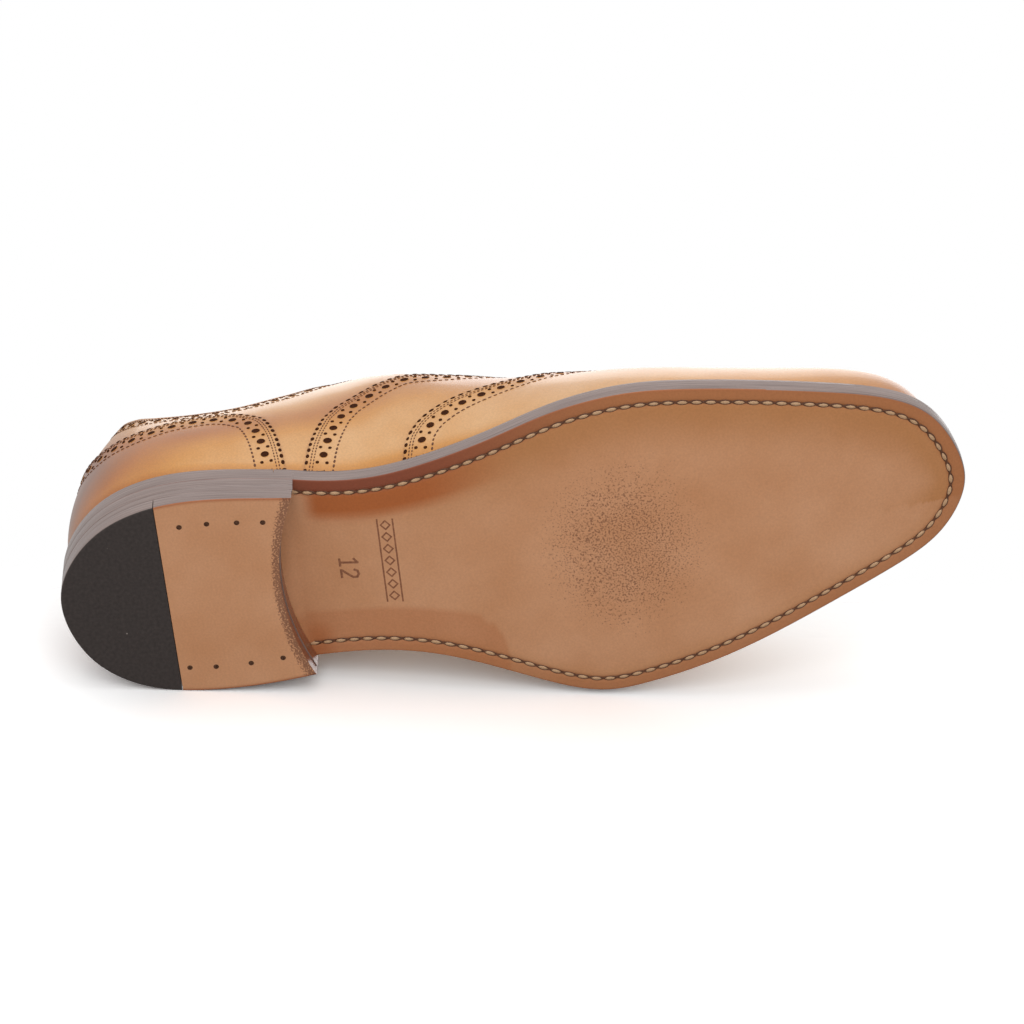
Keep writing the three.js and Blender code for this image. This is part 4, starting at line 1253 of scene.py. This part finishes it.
def make_topline():
    """The folded top edge, in one roll from the throat round the heel and back."""
    qs = np.linspace(0, 0.572, 420)
    points = np.concatenate([upper(MEDIAL, qs[::-1], 1.0), upper(LATERAL, qs[1:], 1.0)])
    ways = np.concatenate([normal(MEDIAL, qs[::-1], 1.0), normal(LATERAL, qs[1:], 1.0)])
    roll = sweep("topline_roll", [(points - ways * 1.05, ways)], round_section(0.95, 12, 1.25))
    paint(roll.data, "burnish", np.full(len(roll.data.vertices), 0.5))
    paint(roll.data, "seam", np.full(len(roll.data.vertices), 9.0))
    fit(roll, [CALF], "calf_upper")


def make_linings():
    for side, name in ((MEDIAL, "medial"), (LATERAL, "lateral")):
        q = np.linspace(0.0, 0.575, 150)[:, None]
        v = np.linspace(0.03, 0.985, 60)[None, :]
        q, v = np.broadcast_arrays(q, v)
        depth = 1.6 + 1.6 * (1 - ease(0.8, 0.97, v))
        ways = normal(side, q, v)
        outside = upper(side, q, v) - ways * depth[..., None]
        pair = (outside, outside - ways * 0.7)
        lining = shell(f"{name}_lining_leather", [tuple(flipped(side, k) for k in pair)])
        fit(lining, [LINING], "lining_leather", f"{name}_quarter_lining")


def make_back_tab():
    """The narrow strip over the back seam at the top of the heel."""
    grids, shade = [], []
    for side in SIDES:
        q, v = np.broadcast_arrays(np.linspace(0, 0.014, 8)[:, None],
                                   np.linspace(0.6, 0.995, 40)[None, :])
        ways = normal(side, q, v)
        outside = upper(side, q, v) + ways * (0.15 + 0.55 * (1 - ease(0.006, 0.014, q)))[..., None]
        grids.append(tuple(flipped(side, k) for k in (outside, outside - ways * 0.5)))
        shade.append(flipped(side, 0.75 + 0 * q))
    tab = shell("back_strip", grids, [("burnish", shade), ("seam", [9 + 0 * k for k in shade])])
    fit(tab, [CALF], "calf_upper", "back_tab")


# ---- Broguing and stitching --------------------------------------------------------------------
def make_broguing():
    """Each band, from its edge in: dark marks painted as the shade in the notches of its pinked edge,
    two fine stitch rows, big holes with pairs of small ones between them, and one more stitch row."""
    notch_shadows, fine, inner, holes = [], [], [], []
    for sheet_name in ("counter", "vamp", "cap"):
        for side in SIDES:
            notch_shadows.append(band_path(sheet_name, side, 0.55, 0.0))
            fine += [band_path(sheet_name, side, distance) for distance in (1.95, 3.0)]
            holes.append(band_path(sheet_name, side, 6.0, 0.0))
            inner.append(band_path(sheet_name, side, 10.2))
    for side in SIDES:
        fine += [topline_path(side, distance) for distance in (1.3, 2.3)]
        holes += [topline_path(side, 4.6, end=0.386, proud=0.0),
                  topline_path(side, 13.2, start=0.41, end=0.54, proud=0.0)]
        inner += [topline_path(side, 7.6, end=0.384),
                  topline_path(side, 10.0, start=0.41, end=0.55),
                  topline_path(side, 16.4, start=0.412, end=0.53)]
    pitch = 7.3
    pairs = between(holes, pitch)
    rows = (
        # Painted shadow: dark ovals stand in for the shade in the notches of the pinked edge.
        ("edge_notches", notch_shadows, 3.1, blob("notch_seed", 2.1, 1.3, 0.34, 8, 4), HOLLOW_SHADE, 0.15),
        ("fine_stitches", fine, 1.5, blob("fine_seed", 1.2, 0.5, 0.32, 6, 4), UPPER_THREAD, 0.08),
        ("band_stitches", inner, 2.1, blob("band_seed", 1.6, 0.8, 0.4, 6, 4), UPPER_THREAD, 0.08),
        # The hole bottoms take the dark painted shade.
        ("big_holes", holes, pitch, dish("big_seed", 1.45), HOLLOW_SHADE, 0.05),
        ("small_holes", pairs, pitch, twin("pair_seed", dish("small_seed", 0.62), 1.65),
         HOLLOW_SHADE, 0.05),
        ("hole_lips", holes, pitch, ring("lip_seed", 1.5, 0.12), CALF, 0.05),
    )
    for seed, (name, paths, step, piece, finish, jitter) in enumerate(rows):
        row = lay_row(name, paths, step, piece, finish, jitter, 11 if "hole" in name else seed)
        slot = "waxed_cotton" if finish is UPPER_THREAD else "calf_upper"
        if finish is CALF:
            paint(row.data, "burnish", np.full(len(row.data.vertices), 0.3))
            paint(row.data, "seam", np.full(len(row.data.vertices), 9.0))
        fit(row, [finish], slot)
        bpy.data.objects.remove(piece)


def dish(name, radius):
    """The bottom of a punched hole, hollowed below its lip; the dark painted shade goes on it."""
    return turned(name, [(0, 0.03), (radius * 0.7, 0.05), (radius, 0.14),
                         (radius, -0.1), (0, -0.1)], 12)


def twin(name, piece, spread):
    """Two copies of a piece, side by side across a row."""
    work = bmesh.new()
    for way in (-1, 1):
        copy = piece.data.copy()
        copy.transform(Matrix.Translation((0, way * spread * MM, 0)))
        work.from_mesh(copy)
        bpy.data.meshes.remove(copy)
    mesh = bpy.data.meshes.new(name)
    work.to_mesh(mesh)
    work.free()
    bpy.data.objects.remove(piece)
    return new_object(name, mesh)


# ---- Tongue and lace -----------------------------------------------------------------------------
TONGUE_OUTSIDE, TONGUE_INSIDE = -8.7, -10.0


def make_tongue():
    u = np.linspace(-1, 1, 45)
    rows = []
    for q in np.linspace(0.565, 0.41, 46):
        low = mix(0.83, 0.86, float(ease(0.41, THROAT_Q, q)))
        v = mix(1.0, low, np.abs(u))
        qs = np.full_like(u, q)
        point = np.where((u < 0)[:, None], upper(MEDIAL, qs, v), upper(LATERAL, qs, v))
        capped = np.minimum(v, 0.99)
        ways = np.where((u < 0)[:, None], bare_normal(MEDIAL, qs, capped),
                        bare_normal(LATERAL, qs, capped))
        crown = unit(ways[22] + ways[23] + ways[21])
        near = (1 - np.minimum(np.abs(u) * 2.2, 1))[:, None]
        ways = unit(mix(ways, crown, ease(0, 1, near)))
        rows.append((point + ways * TONGUE_OUTSIDE, point + ways * TONGUE_INSIDE))
    last, before = rows[-1], rows[-8]
    ahead = unit(last[0] - before[0])
    for reach in np.linspace(0.7, 14, 20):
        shift = (reach * (1 - 0.5 * np.abs(u) ** 4 * reach / 14))[:, None]
        sink = np.array([0, 0, -0.25 * reach])
        rows.append(tuple(k + ahead * shift + sink for k in last))
    outside, inside = (np.array([r[k] for r in rows]) for k in (0, 1))
    shade = 0.35 + 0 * outside[..., 0]
    tongue = shell("tongue_leather", [(outside, inside)],
                   [("burnish", [shade]), ("seam", [9 + 0 * shade])])
    fit(tongue, [CALF], "calf_upper", "tongue", body="tongue")


LACE_R, LACE_OVER, LACE_UNDER = 0.9, 1.5, -7.0


def flowing(points, per_span=14):
    """A centripetal Catmull-Rom line through points."""
    p = np.array([2 * points[0] - points[1], *points, 2 * points[-1] - points[-2]])
    made = []
    for i in range(1, len(p) - 2):
        t = np.r_[0, np.cumsum([max(np.linalg.norm(p[i + k] - p[i + k - 1]), 1e-6) ** 0.5
                                for k in (0, 1, 2)])]
        for u in np.linspace(t[1], t[2], per_span, endpoint=False):
            pick = lambda a, b, pa, pb: ((t[b] - u) * pa + (u - t[a]) * pb) / (t[b] - t[a])
            a1, a2, a3 = (pick(k, k + 1, p[i - 1 + k], p[i + k]) for k in range(3))
            b1, b2 = pick(0, 2, a1, a2), pick(1, 3, a2, a3)
            made.append(pick(1, 2, b1, b2))
    made.append(p[-2])
    return np.array(made)


def make_lace():
    """Straight bars over the facing, each row joined to the next beneath it."""
    path = []

    def over(side, q, v, height):
        path.append(on_upper(side, np.array([q]), np.array([v]), np.array([height]))[0])

    rows = EYELET_QS[::-1]
    over(MEDIAL, rows[0] + 0.012, EYELET_V - 0.01, LACE_UNDER)
    for i, q in enumerate(rows):
        side = MEDIAL if i % 2 == 0 else LATERAL
        over(side, q, EYELET_V, LACE_UNDER + 1.2)
        over(side, q, EYELET_V, -0.6)
        over(side, q, EYELET_V + 0.012, LACE_OVER - 0.2)
        over(side, q, 0.985, LACE_OVER)
        two = [np.array([q]), np.array([0.99])]
        crown = unit(normal(MEDIAL, *two)[0] + normal(LATERAL, *two)[0])
        top = (upper(MEDIAL, q, 1.0) + upper(LATERAL, q, 1.0)) / 2
        path.append(top + crown * LACE_OVER)
        over(-side, q, 0.985, LACE_OVER)
        over(-side, q, EYELET_V + 0.012, LACE_OVER - 0.2)
        over(-side, q, EYELET_V, -0.6)
        over(-side, q, EYELET_V, LACE_UNDER + 1.2)
        after = (q + rows[i + 1]) / 2 if i + 1 < len(rows) else q - 0.014
        over(-side, after, EYELET_V - 0.004, LACE_UNDER)
    lace = sweep("lace_cord", [(flowing(path), None)], round_section(LACE_R, 10))
    fit(lace, [LACE], "waxed_cotton", "lace")


# ---- Pieces the frame shows as they are ------------------------------------------------------------
def dress_frame():
    finishes = {
        "insole": INSOLE, "heel_sock": LINING, "cork_filler": CORK, "heel_seat_filler": BOARD,
        "shank": STEEL, "vamp_lining": LINING, "toe_puff": BOARD, "heel_stiffener": BOARD,
    }
    for name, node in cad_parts.items():
        finish = BRASS if "eyelet" in name else finishes.get(name)
        if finish and not node.hide_render:
            node.data.materials.clear()
            node.data.materials.append(finish)


# ---- Camera, stage and light ------------------------------------------------------------------------
CAMERA_RIGHT = Vector((0.09697, -0.99459, -0.03722))
CAMERA_UP = Vector((-0.84101, -0.10189, 0.53134))
CAMERA_BACK = Vector((-0.53225, -0.02022, -0.84634))
CAMERA_PLACE = Vector((-0.7884, -0.0301, -1.2240))


def make_camera():
    data = bpy.data.cameras.new("camera")
    data.lens, data.sensor_width = 148.65, 36.0
    data.clip_end = 20
    camera = bpy.data.objects.new("camera", data)
    bpy.context.scene.collection.objects.link(camera)
    turn = Matrix((CAMERA_RIGHT, CAMERA_UP, CAMERA_BACK)).transposed().to_4x4()
    camera.matrix_world = Matrix.Translation(CAMERA_PLACE) @ turn
    bpy.context.scene.camera = camera


# The paper is overexposed to the eye, as studio paper is, so only its shaded parts are seen.
PAPER_SEEN = (1.2, 1.2, 1.2, 1.0)
PAPER_BOUNCE = (0.4, 0.4, 0.4, 1.0)


def pale_paper(name, fade, height=None):
    """Matt white paper, seen from its front only, that thins out over the distances from the shoe in
    fade and over the heights in height."""
    made = bpy.data.materials.new(name)
    made.use_nodes = True
    tree = made.node_tree
    tree.nodes.clear()
    straight = add(tree, "ShaderNodeLightPath").outputs["Is Camera Ray"]
    tone = add(tree, "ShaderNodeMix", {"Factor": straight, 6: PAPER_BOUNCE, 7: PAPER_SEEN},
               data_type="RGBA")
    paper = add(tree, "ShaderNodeBsdfDiffuse", {"Color": tone.outputs[2]})
    clear = add(tree, "ShaderNodeBsdfTransparent")
    geometry = add(tree, "ShaderNodeNewGeometry")
    away = add(tree, "ShaderNodeVectorMath", {0: geometry.outputs["Position"]}, operation="LENGTH")
    level = add(tree, "ShaderNodeSeparateXYZ", {0: geometry.outputs["Position"]})
    hidden = geometry.outputs["Backfacing"]
    for value, reach in ((away.outputs["Value"], fade), (level.outputs["Z"], height)):
        if reach:
            thin = add(tree, "ShaderNodeMapRange", {"Value": value, "From Min": reach[0],
                                                    "From Max": reach[1]}, interpolation_type="SMOOTHSTEP")
            hidden = add(tree, "ShaderNodeMath", {0: hidden, 1: thin.outputs["Result"]},
                         operation="MAXIMUM").outputs[0]
    shown = add(tree, "ShaderNodeMixShader", {"Fac": hidden, 1: paper.outputs[0], 2: clear.outputs[0]})
    add(tree, "ShaderNodeOutputMaterial", {"Surface": shown.outputs[0]})
    return made


def paper_sheet(name, centre, along, across, size, finish, shades=False):
    along, across = along.normalized(), across.normalized()
    corners = [centre + along * a * size[0] + across * b * size[1]
               for a, b in ((-1, -1), (1, -1), (1, 1), (-1, 1))]
    mesh = bpy.data.meshes.new(name)
    mesh.from_pydata([tuple(c) for c in corners], [], [(0, 1, 2, 3)])
    made = new_object(name, mesh)
    mesh.materials.append(finish)
    made.visible_glossy = made.visible_shadow = made.visible_transmission = False
    made.visible_diffuse = shades


def lowest_along(way):
    """The least distance along a direction of any point of the frame."""
    least = []
    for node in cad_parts.values():
        points = np.zeros(len(node.data.vertices) * 3)
        node.data.vertices.foreach_get("co", points)
        turn = np.array(node.matrix_world)
        points = points.reshape(-1, 3) @ turn[:3, :3].T + turn[:3, 3]
        least.append((points @ np.array(way)).min())
    return float(min(least))


def make_stage():
    """A level floor under the shoe, and the sheet that the shoe lies on by its side, which touches
    the lateral edges of the heel and of the ball."""
    paper_sheet("floor", Vector((0, 0, 0)), Vector((1, 0, 0)), Vector((0, 1, 0)), (1, 1),
                pale_paper("floor_paper", fade=(0.3, 0.65)))
    heel_side, ball_side = Vector((0.0415, 0.0965, 0)), Vector((0.0605, -0.0375, 0))
    along = (ball_side - heel_side).normalized()
    tilt = math.radians(25)
    face = CAMERA_UP * math.cos(tilt) + CAMERA_BACK * math.sin(tilt)
    face = (face - along * face.dot(along)).normalized()
    rise = face.cross(along)
    paper_sheet("side_sheet", face * lowest_along(face), along, rise, (1, 1),
                pale_paper("side_paper", fade=(0.3, 0.65), height=(0.03, 0.1)), shades=True)


def area_light(name, place, aim, size, watts):
    data = bpy.data.lights.new(name, "AREA")
    data.shape, data.size, data.size_y, data.energy = "RECTANGLE", size[0], size[1], watts
    light = bpy.data.objects.new(name, data)
    bpy.context.scene.collection.objects.link(light)
    light.location = place
    light.rotation_mode = "QUATERNION"
    light.rotation_quaternion = (Vector(aim) - Vector(place)).to_track_quat("-Z", "Y")


def make_light():
    scene = bpy.context.scene
    scene.view_settings.view_transform = "Standard"
    world = bpy.data.worlds.new("studio")
    world.use_nodes = True
    tree = world.node_tree
    tree.nodes.clear()
    seen = add(tree, "ShaderNodeBackground", {"Color": (1, 1, 1, 1), "Strength": 1.0})
    way = add(tree, "ShaderNodeTexCoord").outputs["Generated"]
    above = add(tree, "ShaderNodeVectorMath", {0: way, 1: CAMERA_UP}, operation="DOT_PRODUCT")
    level = add(tree, "ShaderNodeMapRange", {"Value": above.outputs["Value"], "From Min": -1.0,
                                             "From Max": 1.0, "To Min": 0.22, "To Max": 0.98})
    fill = add(tree, "ShaderNodeBackground", {"Color": (1, 1, 1, 1), "Strength": level.outputs["Result"]})
    straight = add(tree, "ShaderNodeLightPath").outputs["Is Camera Ray"]
    both = add(tree, "ShaderNodeMixShader", {"Fac": straight, 1: fill.outputs[0], 2: seen.outputs[0]})
    add(tree, "ShaderNodeOutputWorld", {"Surface": both.outputs[0]})
    scene.world = world
    overhead = CAMERA_UP * 0.9 + CAMERA_BACK * 0.35
    area_light("softbox_side", overhead * 1.1, (0, 0, 0.03), (0.9, 0.9), 1.6)
    area_light("softbox_front", CAMERA_BACK * 1.3 + CAMERA_UP * 0.35, (0, 0, 0.03), (0.8, 0.8), 6.5)
    area_light("softbox_top", (0.25, -0.2, 1.2), (0, 0, 0.05), (0.9, 0.9), 3.0)


make_camera()
make_stage()
make_light()
make_sole()
make_welt()
make_sole_seam()
make_nails()
make_stamp()
make_upper()
make_topline()
make_linings()
make_back_tab()
make_broguing()
make_tongue()
make_lace()
dress_frame()
